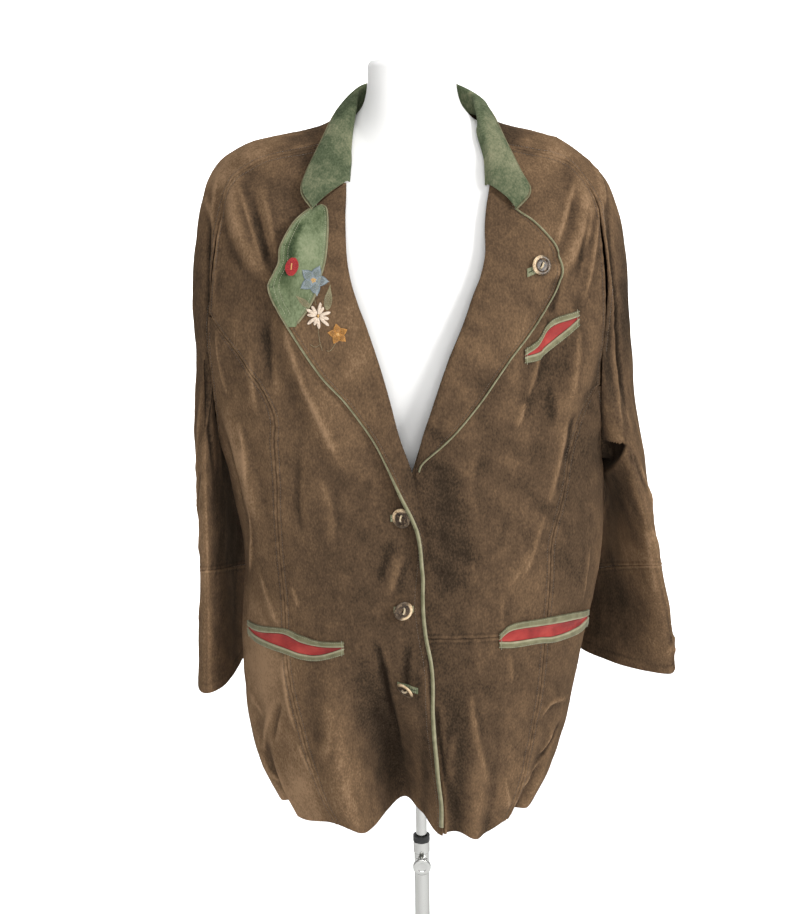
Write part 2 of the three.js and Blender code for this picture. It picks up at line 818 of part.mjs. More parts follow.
for (const [name, pocket] of Object.entries(pockets)) {
  const edges = (upper, lower) => ({
    columns: ["x0", "z0", "x1", "z1"],
    rows: pocket.rows.map((row) => {
      const at = Object.fromEntries(pocket.columns.map((column, c) => [column, row[c]]));
      return [at.x, at[upper], at.x, at[lower]];
    }),
  });
  const mouth = edges("mouthTop", "mouthLow");
  const inset = 0.5; // keeps the lining off the welts
  mouth.rows.forEach((row) => {
    row[1] -= inset;
    row[3] += inset;
  });
  const ends = mouth.rows.length - 1;
  const steps = 2 * ends;
  strip(`${name}_upper_welt`, paleGreen, edges("top", "mouthTop"), {
    lift: CLEAR + TRIM + 1.2,
    thickness: TRIM,
    steps,
  });
  strip(`${name}_lower_welt`, paleGreen, edges("mouthLow", "low"), {
    lift: CLEAR + TRIM + 1.2,
    thickness: TRIM,
    steps,
  });
  mouth.rows[0][1] += 1;
  mouth.rows[ends][1] += 1;
  strip(`${name}_lining`, redCloth, mouth, { lift: CLEAR + 1.1, thickness: 0.8, steps });
}

// ---------- collar ----------
// Stations from the gorge on the wearer's right, round the back of the neck at 7, to the gorge
// on the left. The base is on the neck seam, the roll is the top of the fold, and the edge is
// the free edge of the fall.
const collar = {
  columns: [
    ...["station", "baseX", "baseY", "baseZ", "rollX", "rollY", "rollZ"],
    ...["edgeX", "edgeY", "edgeZ"],
  ],
  rows: [
    [0, -73, -56, 1373, -77, -63, 1374, -113, -86, 1345],
    [1, -72, -51, 1380, -77, -58, 1384, -125, -75, 1362],
    [2, -71, -41, 1394, -75, -48, 1399, -120, -58, 1381],
    [3, -73, -24, 1417, -70, -27, 1423, -103, -33, 1413],
    [4, -79, -6, 1430, -65, -4, 1446, -88, -5, 1440],
    [5, -77, 28, 1433, -61, 28, 1464, -77, 36, 1449],
    [6, -46, 55, 1436, -38, 55, 1470, -50, 72, 1444],
    [7, 0, 61, 1437, 0, 66, 1473, 0, 86, 1434],
    [8, 46, 55, 1436, 40, 56, 1469, 52, 74, 1442],
    [9, 76, 28, 1433, 69, 34, 1457, 83, 40, 1444],
    [10, 79, 2, 1430, 74, 3, 1445, 92, 6, 1437],
    [11, 74, -24, 1418, 80, -26, 1424, 104, -28, 1412],
    [12, 81, -41, 1393, 87, -48, 1397, 120, -55, 1380],
    [13, 82, -52, 1378, 88, -61, 1381, 130, -76, 1359],
    [14, 82, -58, 1366, 87, -67, 1367, 114, -88, 1342],
  ],
};
const COLLAR_CROWN = 4; // how far the fall bows out between its roll and its edge
const COLLAR_STEPS = 21;

// Across 0 is the neck seam, 1 the roll, 2 the middle of the fall and 3 its free edge.
function collarPoint(station, across) {
  const at = read(collar, station);
  const roll = new THREE.Vector3(at.rollX, at.rollY, at.rollZ);
  const edge = new THREE.Vector3(at.edgeX, at.edgeY, at.edgeZ);
  const away = new THREE.Vector3(edge.x, edge.y - 8, 20).normalize();
  const middle = roll.clone().lerp(edge, 0.5).addScaledVector(away, COLLAR_CROWN);
  const stops = {
    columns: ["across", "x", "y", "z"],
    rows: [
      [0, at.baseX, at.baseY, at.baseZ],
      [1, ...roll.toArray()],
      [2, ...middle.toArray()],
      [3, ...edge.toArray()],
    ],
  };
  const found = read(stops, across);
  return new THREE.Vector3(found.x, found.y, found.z);
}

function collarFacing(station, across) {
  const s = THREE.MathUtils.clamp(station, 0.1, 13.9);
  const a = THREE.MathUtils.clamp(across, 0.1, 2.9);
  return outward(collarPoint, s, a, 0.08, 0.08).negate();
}

{
  const stops = [0, 0.6, 1, 1.4, 2, 2.5, 3];
  const points = [];
  const normals = [];
  for (let r = 0; r <= COLLAR_STEPS; r += 1) {
    const station = mix(0.02, 13.98, r / COLLAR_STEPS);
    points.push(stops.map((across) => collarPoint(station, across)));
    normals.push(stops.map((across) => collarFacing(station, across)));
  }
  add("collar", facingOut(wall({ points, normals, thickness: SUEDE })), greenSuede);
}

// ---------- pipings along the free edges ----------
{
  const beyond = [3.02, 3.2];
  const points = [];
  const normals = [];
  for (let r = 0; r <= COLLAR_STEPS; r += 1) {
    const station = mix(0.02, 13.98, r / COLLAR_STEPS);
    const edge = collarPoint(station, 3);
    const away = edge.clone().sub(collarPoint(station, 2.9)).normalize();
    const facing = collarFacing(station, 2.9);
    const start = 2 * SEAM_GAP;
    points.push([start, start + PIPING - 1].map((out) => edge.clone().addScaledVector(away, out)));
    normals.push(beyond.map(() => facing));
  }
  add("collar_piping", facingOut(wall({ points, normals, thickness: TRIM })), paleGreen);
}

const ABOVE = 0.5; // more room below a piping, for the bends of what it is on

// A strip along a line seen from in front. Each row has a place and the lift of what it is on.
function edging(name, side, rows, steps) {
  const table = { columns: ["row", "x", "z", "lift"], rows: rows.map((row, r) => [r, ...row]) };
  const points = [];
  const normals = [];
  for (let r = 0; r <= steps; r += 1) {
    const at = (r / steps) * (rows.length - 1);
    const middle = read(table, at);
    const [before, after] = [read(table, at - 0.05), read(table, at + 0.05)];
    const along = new THREE.Vector2(after.x - before.x, after.z - before.z).setLength(PIPING / 2);
    const places = [-1, 1].map((hand) =>
      fromFront(middle.x - hand * along.y, middle.z + hand * along.x)
    );
    const lift = middle.lift + CLEAR + TRIM + ABOVE;
    points.push(places.map((to) => onBody(to.angle, to.level, lift + liftOf(side, to))));
    normals.push(places.map((to) => bodyFacing(to.angle, to.level)));
  }
  add(name, facingOut(wall({ points, normals, thickness: TRIM })), paleGreen);
}
const ON_LAPEL = 2 * CLEAR + SUEDE; // lift of a lapel's outer face where it lies flat
const outerEdgeOf = (side) =>
  lapels[side].rows.map(([, , , x, z, stand]) => [x, z, ON_LAPEL + stand]);
const closingEdge = [
  [4, 926, 3.6],
  [3.6, 905, 0.6],
  [4.4, 880, 0],
  [7, 855, 0],
  [12, 827, 0],
  [14, 800, 0],
  [14, 755, 0],
  [17, 695, 0],
  [23, 640, 0],
  [23, 603, 0],
];
edging("right_edge_piping", "right", [...outerEdgeOf("right").reverse(), ...closingEdge], 42);
const lowLeft = [7, 1064, ON_LAPEL];
edging("left_lapel_piping", "left", [...outerEdgeOf("left").slice(1).reverse(), lowLeft], 20);

// ---------- bound buttonholes ----------
const buttonholes = {
  lapel: { x: [124, 148], z: [1271, 1279], half: 4.5, lift: ON_LAPEL },
  upper: { x: [-32, -13], z: [1000, 1002], half: 4, lift: 0 },
  middle: { x: [-30, -7], z: [891, 892], half: 4, lift: 0 },
  lower: { x: [-27, -3], z: [797, 790], half: 4, lift: 0 },
};
for (const [name, hole] of Object.entries(buttonholes)) {
  const { half } = hole;
  const ends = [0, 1].map((end) => [hole.x[end], hole.z[end] + half, hole.x[end], hole.z[end] - half]);
  const shape = { columns: ["x0", "z0", "x1", "z1"], rows: ends };
  const options = { lift: hole.lift + CLEAR + TRIM, thickness: TRIM, steps: 3, across: 1 };
  strip(`${name}_buttonhole`, greenSuede, shape, options);
}

// ---------- buttons and their cords ----------
const BUTTON_LIFT = 2 * CLEAR + TRIM; // a button's back stands this far off what it is on
const buttons = {
  columns: ["x", "z", "on", "spin", "tipSide", "tipUp"],
  rows: [
    [140, 1278, ON_LAPEL + 1.2, 35, 6, 4],
    [-19, 1001, 1.4, 80, -5, 4],
    [-19, 892, 3.6, 75, 18, 4],
    [-16, 795, 6.2, 20, -24, 22],
  ],
};
const buttonNames = ["lapel", "upper", "middle", "lower"];
buttons.rows.forEach((row, r) => {
  const at = Object.fromEntries(buttons.columns.map((column, c) => [column, row[c]]));
  const place = fromFront(at.x, at.z);
  const middle = onBody(place.angle, place.level, at.on + BUTTON_LIFT);
  const turn = new THREE.Quaternion().setFromUnitVectors(
    new THREE.Vector3(0, -1, 0),
    bodyFacing(place.angle, place.level)
  );
  const stand = new THREE.Matrix4().makeRotationX(Math.PI / 2);
  const tip = new THREE.Euler(radians(at.tipUp), 0, radians(at.tipSide));
  const spin = new THREE.Matrix4().makeRotationZ(radians(at.spin));
  const placed = new THREE.Matrix4()
    .makeTranslation(...middle)
    .multiply(new THREE.Matrix4().makeRotationFromQuaternion(turn))
    .multiply(new THREE.Matrix4().makeRotationFromEuler(tip))
    .multiply(stand)
    .multiply(spin);
  const { radius, thick, bevel, hole, apart } = BUTTON;
  const face = new THREE.Shape().absarc(0, 0, radius - bevel, 0, 2 * Math.PI);
  for (const hand of [-1, 1]) {
    face.holes.push(new THREE.Path().absarc(hand * apart, 0, hole + bevel / 2, 0, 2 * Math.PI));
  }
  const disc = new THREE.ExtrudeGeometry(face, {
    depth: thick - 2 * bevel,
    bevelEnabled: true,
    bevelThickness: bevel,
    bevelSize: bevel / 2,
    bevelSegments: 1,
    curveSegments: 10,
  });
  disc.translate(0, 0, bevel).applyMatrix4(placed);
  add(`${buttonNames[r]}_button`, disc, horn);

  const top = thick + CORD + CLEAR;
  const low = -BUTTON_LIFT + 2 * CLEAR;
  const path = new THREE.CatmullRomCurve3(
    [
      [-apart, low],
      [-apart, thick * 0.5],
      [-apart * 0.8, top - 0.3],
      [0, top],
      [apart * 0.8, top - 0.3],
      [apart, thick * 0.5],
      [apart, low],
    ].map(([x, z]) => new THREE.Vector3(x, 0, z))
  );
  const round = new THREE.Shape().absarc(0, 0, CORD, 0, 2 * Math.PI);
  const cord = new THREE.ExtrudeGeometry(round, {
    steps: 10,
    extrudePath: path,
    bevelEnabled: false,
    curveSegments: 4,
  });
  add(`${buttonNames[r]}_cord`, cord.applyMatrix4(placed), creamCord);
});

// ---------- small vent piping on the right cuff ----------
{
  const ventRound = [0.44, 0.5];
  const heights = [788, 802, 816, 829];
  const points = [];
  const normals = [];
  for (const z of heights) {
    const facing = (round) =>
      outward((a, b) => sectionPoint("right", b, a), round, z, 0.02, 4).negate();
    const lifted = (round) =>
      sectionPoint("right", z, round).addScaledVector(facing(round), CLEAR + TRIM);
    points.push(ventRound.map(lifted));
    normals.push(ventRound.map(facing));
  }
  add("cuff_vent_piping", facingOut(wall({ points, normals, thickness: TRIM })), paleGreen);
}

// ---------- the dress form ----------
const torso = {
  columns: ["level", "frontZ", "backZ", "right", "left", "front", "back", "middleY"],
  rows: [
    [665, 665, 665, 148, 148, 70, 102, 0],
    [668, 668, 668, 153, 153, 75, 107, 0],
    [690, 690, 690, 164, 164, 85, 116, 0],
    [760, 760, 760, 170, 170, 108, 122, 0],
    [850, 850, 850, 166, 166, 113, 118, 0],
    [950, 950, 950, 146, 146, 100, 106, 0],
    [1040, 1040, 1040, 132, 132, 94, 98, 0],
    [1130, 1130, 1130, 148, 148, 106, 102, 2],
    [1200, 1195, 1198, 165, 165, 116, 104, 4],
    [1260, 1238, 1252, 172, 172, 116, 102, 6],
    [1310, 1270, 1298, 173, 173, 110, 98, 8],
    [1350, 1294, 1334, 168, 168, 101, 92, 8],
    [1380, 1312, 1362, 158, 158, 91, 84, 8],
    [1398, 1326, 1382, 148, 148, 82, 77, 8],
    [1410, 1338, 1396, 140, 140, 75, 71, 8],
    [1414, 1345, 1402, 124, 124, 70, 67, 8],
    [1419, 1354, 1411, 104, 104, 64, 58, 8],
    [1424, 1364, 1420, 87, 87, 60, 53, 8],
    [1430, 1376, 1429, 73, 73, 57, 49, 8],
    [1436, 1390, 1438, 66, 66, 54, 47, 8],
    [1448, 1418, 1450, 57, 57, 51, 47, 6],
    [1465, 1450, 1466, 52, 52, 50, 47, 4],
    [1494, 1494, 1494, 50, 50, 49, 49, 4],
    [1498, 1498, 1498, 48, 48, 47, 47, 4],
  ],
};
const FORM_LEVELS = [
  665, 668, 680, 715, 770, 840, 910, 975, 1040, 1100, 1160, 1210, 1255, 1295, 1330, 1358, 1380, 1396,
  1406, 1412, 1417, 1421, 1425, 1430, 1437, 1446, 1457, 1472, 1494, 1498,
];
{
  const columns = 32;
  const positions = [];
  const index = [];
  for (const level of FORM_LEVELS) {
    for (let c = 0; c < columns; c += 1) {
      positions.push(...ovalPoint(read(torso, level), (360 * c) / columns, level));
    }
  }
  const rows = FORM_LEVELS.length;
  const at = (row, column) => row * columns + (column % columns);
  for (let c = 0; c < columns; c += 1) {
    for (let r = 0; r < rows - 1; r += 1) {
      index.push(at(r, c), at(r, c + 1), at(r + 1, c + 1), at(r, c), at(r + 1, c + 1), at(r + 1, c));
    }
    if (c > 0 && c < columns - 1) {
      index.push(at(0, 0), at(0, c + 1), at(0, c));
      index.push(at(rows - 1, 0), at(rows - 1, c), at(rows - 1, c + 1));
    }
  }
  const geometry = new THREE.BufferGeometry();
  geometry.setAttribute("position", new THREE.Float32BufferAttribute(positions, 3));
  geometry.setIndex(index);
  add("torso_form", geometry, whiteCover);
}

// ---------- the stand ----------
// A turned piece from the radius and height of its corners, the outline closed.
function turned(name, material, corners, segments = 32) {
  const outline = [...corners, corners[0]].map(([radius, z]) => new THREE.Vector2(radius, z));
  const geometry = new THREE.LatheGeometry(outline, segments);
  add(name, geometry.rotateX(Math.PI / 2), material);
}
const tubeOf = (outer, bore, low, high) => [
  [bore, low],
  [outer, low],
  [outer, high],
  [bore, high],
];
const HUB = { radius: 20, top: 34, bore: TUBE.outer + 0.4, floor: 9 };
turned(
  "base_plate",
  chrome,
  [
    [0, 0],
    [BASE.radius - 2, 0],
    [BASE.radius, 2],
    [BASE.radius, BASE.thick - 3],
    [BASE.radius - 3, BASE.thick],
    [HUB.radius, BASE.thick],
    [HUB.radius, HUB.top - 2],
    [HUB.radius - 2, HUB.top],
    [HUB.bore, HUB.top],
    [HUB.bore, HUB.floor],
    [0, HUB.floor],
  ],
  48
);
const TUBE_TOP = 500;
const RING_LOW = 516;
const RING_TOP = 524;
const SLIDE = TUBE.rod + 0.4;
turned("outer_tube", chrome, tubeOf(TUBE.outer, TUBE.bore, HUB.floor + 0.3, TUBE_TOP));
turned("clamp_collar", chrome, tubeOf(TUBE.outer + 1, SLIDE, TUBE_TOP + 0.3, RING_LOW - 0.3));
turned("black_ring", blackRubber, tubeOf(TUBE.outer + 1.2, SLIDE, RING_LOW, RING_TOP));

const ROD_LOW = 300;
const FLANGE = { radius: 32, thick: 4, top: 664.7 };
turned("height_rod", chrome, [
  [0, ROD_LOW],
  [TUBE.rod, ROD_LOW],
  [TUBE.rod, FLANGE.top - FLANGE.thick],
  [FLANGE.radius, FLANGE.top - FLANGE.thick],
  [FLANGE.radius, FLANGE.top],
  [0, FLANGE.top],
]);

const KNOB_HEIGHT = 488;
const BOSS = { side: 14, depth: 6, back: -TUBE.outer - 0.3, hole: 3.3 };
{
  const half = BOSS.side / 2;
  const block = new THREE.Shape()
    .moveTo(-half, -half)
    .lineTo(half, -half)
    .lineTo(half, half)
    .lineTo(-half, half)
    .closePath();
  block.holes.push(new THREE.Path().absarc(0, 0, BOSS.hole, 0, 2 * Math.PI));
  const boss = new THREE.ExtrudeGeometry(block, {
    depth: BOSS.depth,
    bevelEnabled: false,
    curveSegments: 12,
  });
  boss.rotateX(Math.PI / 2).translate(0, BOSS.back, KNOB_HEIGHT);
  add("clamp_boss", boss, chrome);
}
{
  const stem = BOSS.hole - 0.3;
  const start = -BOSS.back + 0.4;
  const face = -BOSS.back + BOSS.depth + 0.4;
  const outline = [
    [0, start],
    [stem, start],
    [stem, face],
    [11.5, face],
    [11.5, face + 4.8],
    [10.5, face + 5.8],
    [0, face + 5.8],
    [0, start],
  ].map(([radius, out]) => new THREE.Vector2(radius, out));
  const knob = new THREE.LatheGeometry(outline, 32).rotateX(Math.PI);
  add("clamp_knob", knob.translate(0, 0, KNOB_HEIGHT), chrome);
}

export default jacketOnForm;
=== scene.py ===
"""A trachten jacket of brown suede on a limbless dress form, dressed over its CAD model."""

import math

import bmesh
import bpy
import numpy as np
from mathutils import Euler, Matrix, Vector


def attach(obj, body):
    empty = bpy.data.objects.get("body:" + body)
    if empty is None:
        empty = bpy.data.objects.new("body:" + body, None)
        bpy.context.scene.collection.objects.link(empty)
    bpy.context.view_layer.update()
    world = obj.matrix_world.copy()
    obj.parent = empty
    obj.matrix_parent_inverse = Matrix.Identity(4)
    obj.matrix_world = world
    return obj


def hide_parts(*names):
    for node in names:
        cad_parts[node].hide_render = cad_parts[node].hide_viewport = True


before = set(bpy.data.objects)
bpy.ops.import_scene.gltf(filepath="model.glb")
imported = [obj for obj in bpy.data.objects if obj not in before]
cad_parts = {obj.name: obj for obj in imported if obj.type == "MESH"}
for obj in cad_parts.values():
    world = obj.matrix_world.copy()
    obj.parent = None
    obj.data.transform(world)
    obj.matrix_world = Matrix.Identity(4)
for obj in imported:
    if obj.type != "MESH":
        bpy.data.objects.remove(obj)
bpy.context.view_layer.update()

# ---------- camera, studio light and floor ----------
# The camera looks down a little on the chest. Three soft panels and a white room light the
# jacket, a fourth panel lights the wall behind it, and a pale floor runs up into that wall.
LENS = 74.84
CAMERA_PLACE = (-0.020, -2.211, 1.662)
CAMERA_DIP = 16
CAMERA_LEAN = -0.885
ROOM_LIGHT = 0.42
WHITE = (1, 1, 1, 1)
scene = bpy.context.scene
scene.view_settings.view_transform = "Standard"


def put(name, data):
    """A new object of the scene, at the origin and unturned."""
    thing = bpy.data.objects.new(name, data)
    scene.collection.objects.link(thing)
    return thing


camera = put("camera", bpy.data.cameras.new("camera"))
camera.data.lens = LENS
camera.data.clip_end = 60
look_down = Matrix.Rotation(math.radians(90 - CAMERA_DIP), 4, "X")
lean = Matrix.Rotation(math.radians(CAMERA_LEAN), 4, "Z")
camera.matrix_world = Matrix.Translation(CAMERA_PLACE) @ look_down @ lean
scene.camera = camera
for name, place, aim, size, watts in [
    ("key_light", (2.0, -2.0, 2.2), (0, 0, 1.05), (0.8, 0.8), 56),
    ("front_light", (0.1, -3.4, 2.0), (0, 0, 1.05), (2.2, 1.4), 58),
    ("top_light", (0.2, 0.5, 3.0), (0, 0, 1.3), (1.4, 0.9), 12),
    ("backdrop_light", (0, 2.2, 3.0), (0, 4.1, 0.7), (5.0, 1.2), 230),
]:
    light = put(name, bpy.data.lights.new(name, "AREA"))
    light.data.shape = "RECTANGLE"
    light.data.size, light.data.size_y = size
    light.data.energy = watts
    light.location = place
    light.rotation_euler = (Vector(aim) - Vector(place)).to_track_quat("-Z", "Y").to_euler()
room = bpy.data.worlds.new("white_room")
room.use_nodes = True
room_glow = room.node_tree.nodes["Background"].inputs
room_glow["Color"].default_value = WHITE
room_glow["Strength"].default_value = ROOM_LIGHT
scene.world = room


def add_node(tree, kind, settings=None, **inputs):
    """A node with its sockets set to a value or joined to another node's output."""
    node = tree.nodes.new(kind)
    for key, value in (settings or {}).items():
        setattr(node, key, value)
    for key, value in inputs.items():
        socket = node.inputs[int(key[1:]) if key[1:].isdigit() else key.replace("_", " ")]
        if isinstance(value, bpy.types.NodeSocket):
            tree.links.new(value, socket)
        else:
            socket.default_value = value
    return node


def new_material(name, **finish):
    """A material with its shader's own sockets set, and the tree to build its pattern in."""
    material = bpy.data.materials.new(name)
    material.use_nodes = True
    tree = material.node_tree
    shader = tree.nodes["Principled BSDF"]
    for key, value in finish.items():
        shader.inputs[key.replace("_", " ")].default_value = value
    return material, tree, shader


def object_place(tree):
    return add_node(tree, "ShaderNodeTexCoord").outputs["Object"]


def noise(tree, place, scale, detail, **more):
    node = add_node(tree, "ShaderNodeTexNoise", Vector=place, Scale=scale, Detail=detail, **more)
    return node.outputs["Fac"]


def ramp(tree, fac, stops):
    """A colour ramp from pairs of a place and a colour."""
    node = add_node(tree, "ShaderNodeValToRGB", Fac=fac)
    band = node.color_ramp.elements
    while len(band) < len(stops):
        band.new(0.5)
    for element, (place, tone) in zip(band, stops):
        element.position = place
        element.color = (*tone, 1)
    return node.outputs["Color"]


def joined(tree, shader, tone, normal=None):
    """Gives the shader its tone and its relief."""
    tree.links.new(tone, shader.inputs["Base Color"])
    if normal is not None:
        tree.links.new(normal, shader.inputs["Normal"])


studio_white, tree, shader = new_material("studio_white", Roughness=0.9)
cloudy = noise(tree, object_place(tree), 0.8, 2.0)
joined(tree, shader, ramp(tree, cloudy, [(0.3, (0.87, 0.87, 0.87)), (0.7, (0.92, 0.92, 0.92))]))
FLOOR_LEVEL = -0.0006
BEND = 1.5
floor_mesh = bpy.data.meshes.new("studio_floor")
sweep = [(-4.0, FLOOR_LEVEL), (3.0, FLOOR_LEVEL)]
sweep += [
    (3.0 + BEND * math.sin(a), BEND - BEND * math.cos(a)) for a in np.linspace(0.1, 1.57, 14)
]
sweep += [(4.5, 4.0)]
floor_mesh.from_pydata(
    [(side * 6, y, z) for y, z in sweep for side in (-1, 1)], [],
    [(2 * k, 2 * k + 1, 2 * k + 3, 2 * k + 2) for k in range(len(sweep) - 1)],
)
floor_mesh.shade_smooth()
studio_floor = put("studio_floor", floor_mesh)
studio_floor.data.materials.append(studio_white)

# ---------- the dress form ----------
# A hard torso without limbs, closed at the neck and at the hips, in a tight white jersey cover.
# It sits on the flange of the post, and the jacket hangs on its shoulders.
MM = 0.001
SQUARE = 2.3
DIP = 1.7
ROUND = 128


def bow(a, b, m, n, t):
    """The curve from a to b that leaves with the slope m and arrives with the slope n."""
    t2, t3 = t * t, t * t * t
    found = (2 * t3 - 3 * t2 + 1) * a + (t3 - 2 * t2 + t) * m + (3 * t2 - 2 * t3) * b
    return found + (t3 - t2) * n


def read(rows, at):
    """A smooth curve through a table's rows, read at values of its first column."""
    rows = np.asarray(rows, float)
    keys = rows[:, 0]
    at = np.clip(np.asarray(at, float), keys[0], keys[-1])
    k = np.clip(np.searchsorted(keys, at, side="right") - 1, 0, len(rows) - 2)
    after = np.minimum(np.arange(len(rows)) + 1, len(rows) - 1)
    before = np.maximum(np.arange(len(rows)) - 1, 0)
    slopes = (rows[after] - rows[before]) / (keys[after] - keys[before])[:, None]
    step = (keys[k + 1] - keys[k])[..., None]
    t = (at - keys[k])[..., None] / step
    return bow(rows[k], rows[k + 1], slopes[k] * step, slopes[k + 1] * step, t)[..., 1:]


def oval(rows, angle, level):
    """Points of oval rings. Angle 0 is the front, 90 the wearer's left and 180 the back."""
    angle, level = np.broadcast_arrays(np.asarray(angle, float), np.asarray(level, float))
    ring = read(rows, level)
    s, c = np.sin(np.radians(angle)), np.cos(np.radians(angle))
    width = np.where(s > 0, ring[..., 3], ring[..., 2])
    depth = np.where(c > 0, -ring[..., 4], ring[..., 5])
    fall = np.where(c > 0, ring[..., 0], ring[..., 1]) - level
    x = width * np.sign(s) * np.abs(s) ** (2 / SQUARE)
    y = ring[..., 6] + depth * np.abs(c) ** (2 / SQUARE)
    return np.stack([x, y, level + fall * np.abs(c) ** DIP], -1)


def plain_mesh(name, points, faces, material, body):
    """An object at the origin from points in millimetres, on its body."""
    mesh = bpy.data.meshes.new(name)
    mesh.from_pydata(np.asarray(points, float) * MM, [], [tuple(map(int, face)) for face in faces])
    mesh.update()
    mesh.shade_smooth()
    piece = put(name, mesh)
    mesh.materials.append(material)
    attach(piece, body)
    return piece


def ring_faces(rings, count):
    """The faces between rings of points, with a cap at both ends."""
    faces = [
        (r * count + c, r * count + (c + 1) % count,
         (r + 1) * count + (c + 1) % count, (r + 1) * count + c)
        for r in range(rings - 1) for c in range(count)
    ]
    return faces + [range(count)[::-1], [(rings - 1) * count + c for c in range(count)]]


def bands(tree, place, direction, scale, **more):
    settings = {"wave_type": "BANDS", "bands_direction": direction}
    node = add_node(tree, "ShaderNodeTexWave", settings, Vector=place, Scale=scale, **more)
    return node.outputs["Fac"]


def bump(tree, height, strength, distance, **under):
    node = add_node(
        tree, "ShaderNodeBump", Strength=strength, Distance=distance, Height=height, **under
    )
    return node.outputs["Normal"]


jersey, tree, shader = new_material(
    "white_jersey", Roughness=0.85, Sheen_Weight=0.15, Specular_IOR_Level=0.25
)
place = object_place(tree)
knit = bump(tree, bands(tree, place, "Z", 420.0, Distortion=1.5, Detail=1.0), 0.12, 0.0004)
soft_dirt = noise(tree, place, 9.0, 3.0)
cover_tone = ramp(tree, soft_dirt, [(0.3, (0.90, 0.895, 0.88)), (0.7, (0.95, 0.945, 0.93))])
joined(tree, shader, cover_tone, knit)

# level, frontZ, backZ, right, left, front, back, middleY
torso_rings = [
    [665, 665, 665, 148, 148, 70, 102, 0], [668, 668, 668, 153, 153, 75, 107, 0],
    [690, 690, 690, 164, 164, 85, 116, 0], [760, 760, 760, 170, 170, 108, 122, 0],
    [850, 850, 850, 166, 166, 113, 118, 0], [950, 950, 950, 146, 146, 106, 106, 0],
    [1040, 1040, 1040, 132, 132, 103, 98, 0], [1130, 1130, 1130, 148, 148, 114, 102, 2],
    [1200, 1195, 1198, 165, 165, 116, 104, 4], [1260, 1238, 1252, 172, 172, 116, 102, 6],
    [1310, 1270, 1298, 173, 173, 110, 98, 8], [1350, 1294, 1334, 168, 168, 101, 92, 8],
    [1380, 1312, 1362, 158, 158, 91, 84, 8], [1398, 1326, 1382, 148, 148, 82, 77, 8],
    [1410, 1338, 1396, 140, 140, 75, 71, 8], [1414, 1345, 1402, 124, 124, 70, 67, 8],
    [1419, 1354, 1411, 104, 104, 64, 58, 8], [1424, 1364, 1420, 87, 87, 60, 53, 8],
    [1430, 1376, 1429, 73, 73, 57, 49, 8], [1436, 1390, 1438, 66, 66, 54, 47, 8],
    [1448, 1418, 1450, 57, 57, 51, 47, 6], [1465, 1450, 1466, 52, 52, 50, 47, 4],
    [1494, 1494, 1494, 50, 50, 49, 49, 4], [1498, 1498, 1498, 48, 48, 47, 47, 4],
]
form_levels = np.concatenate([
    np.linspace(665, 690, 10), np.arange(696, 1396, 7),
    np.arange(1397, 1494, 1.5), np.linspace(1494, 1498, 5),
])
turn = np.linspace(0, 360, ROUND, endpoint=False)
skin = oval(torso_rings, turn[None, :], form_levels[:, None])
# share of the rim's radius and rise of each ring of the rounded caps
inset_rings = [(0.66, 0.4), (0.33, 0.6), (0.1, 0.6)]
neck_middle = skin[-1].mean(0)
foot_middle = skin[0].mean(0)
caps = [neck_middle + (skin[-1] - neck_middle) * share + (0, 0, up) for share, up in inset_rings]
feet = [foot_middle + (skin[0] - foot_middle) * share for share, _ in reversed(inset_rings)]
skin = np.concatenate([np.array(feet), skin, np.array(caps)])
dress_form = plain_mesh(
    "dress_form", skin.reshape(-1, 3), ring_faces(len(skin), ROUND), jersey, "form",
)
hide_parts("torso_form")

# ---------- the stand ----------
# A chromed steel base plate with a tube pressed into its hub. The form's rod slides in the tube
# and is held by a clamp with a thumb knob, and a rubber ring closes the clamp's top.
KNOB_LEVEL = 488
BLOCK_FRONT = -9.8
BLOCK_BACK = -15.8
BLOCK_HALF = 7
BLOCK_ROUND = 48
SCREW_HOLE = 3.3
GRIPS = 36
chrome, tree, shader = new_material("chrome_plate", Metallic=1.0)
# The base colour is bright where the chrome faces the eye, dark further round and paler again at the
# very edge: painted reflection of the room in the chrome.
glancing = add_node(tree, "ShaderNodeLayerWeight", Blend=0.35)
painted_reflection_steel = ramp(
    tree, glancing.outputs["Facing"],
    [(0.0, (0.62, 0.62, 0.60)), (0.35, (0.44, 0.44, 0.42)), (0.6, (0.20, 0.20, 0.19)),
     (0.85, (0.5, 0.5, 0.49))],
)
joined(tree, shader, painted_reflection_steel)
smears = noise(tree, object_place(tree), 60.0, 5.0)
polish = add_node(tree, "ShaderNodeMapRange", Value=smears, To_Min=0.08, To_Max=0.24)
tree.links.new(polish.outputs["Result"], shader.inputs["Roughness"])

rubber, tree, shader = new_material("black_rubber_ring", Roughness=0.65)
bloom = noise(tree, object_place(tree), 300.0, 3.0)
joined(tree, shader, ramp(tree, bloom, [(0.3, (0.010, 0.011, 0.011)), (0.7, (0.03, 0.031, 0.03))]))


def face_outwards(mesh):
    """Joins the points that lie in one place and turns every face outwards."""
    shape = bmesh.new()
    shape.from_mesh(mesh)
    bmesh.ops.remove_doubles(shape, verts=shape.verts, dist=1e-6)
    bmesh.ops.recalc_face_normals(shape, faces=shape.faces)
    shape.to_mesh(mesh)
    shape.free()


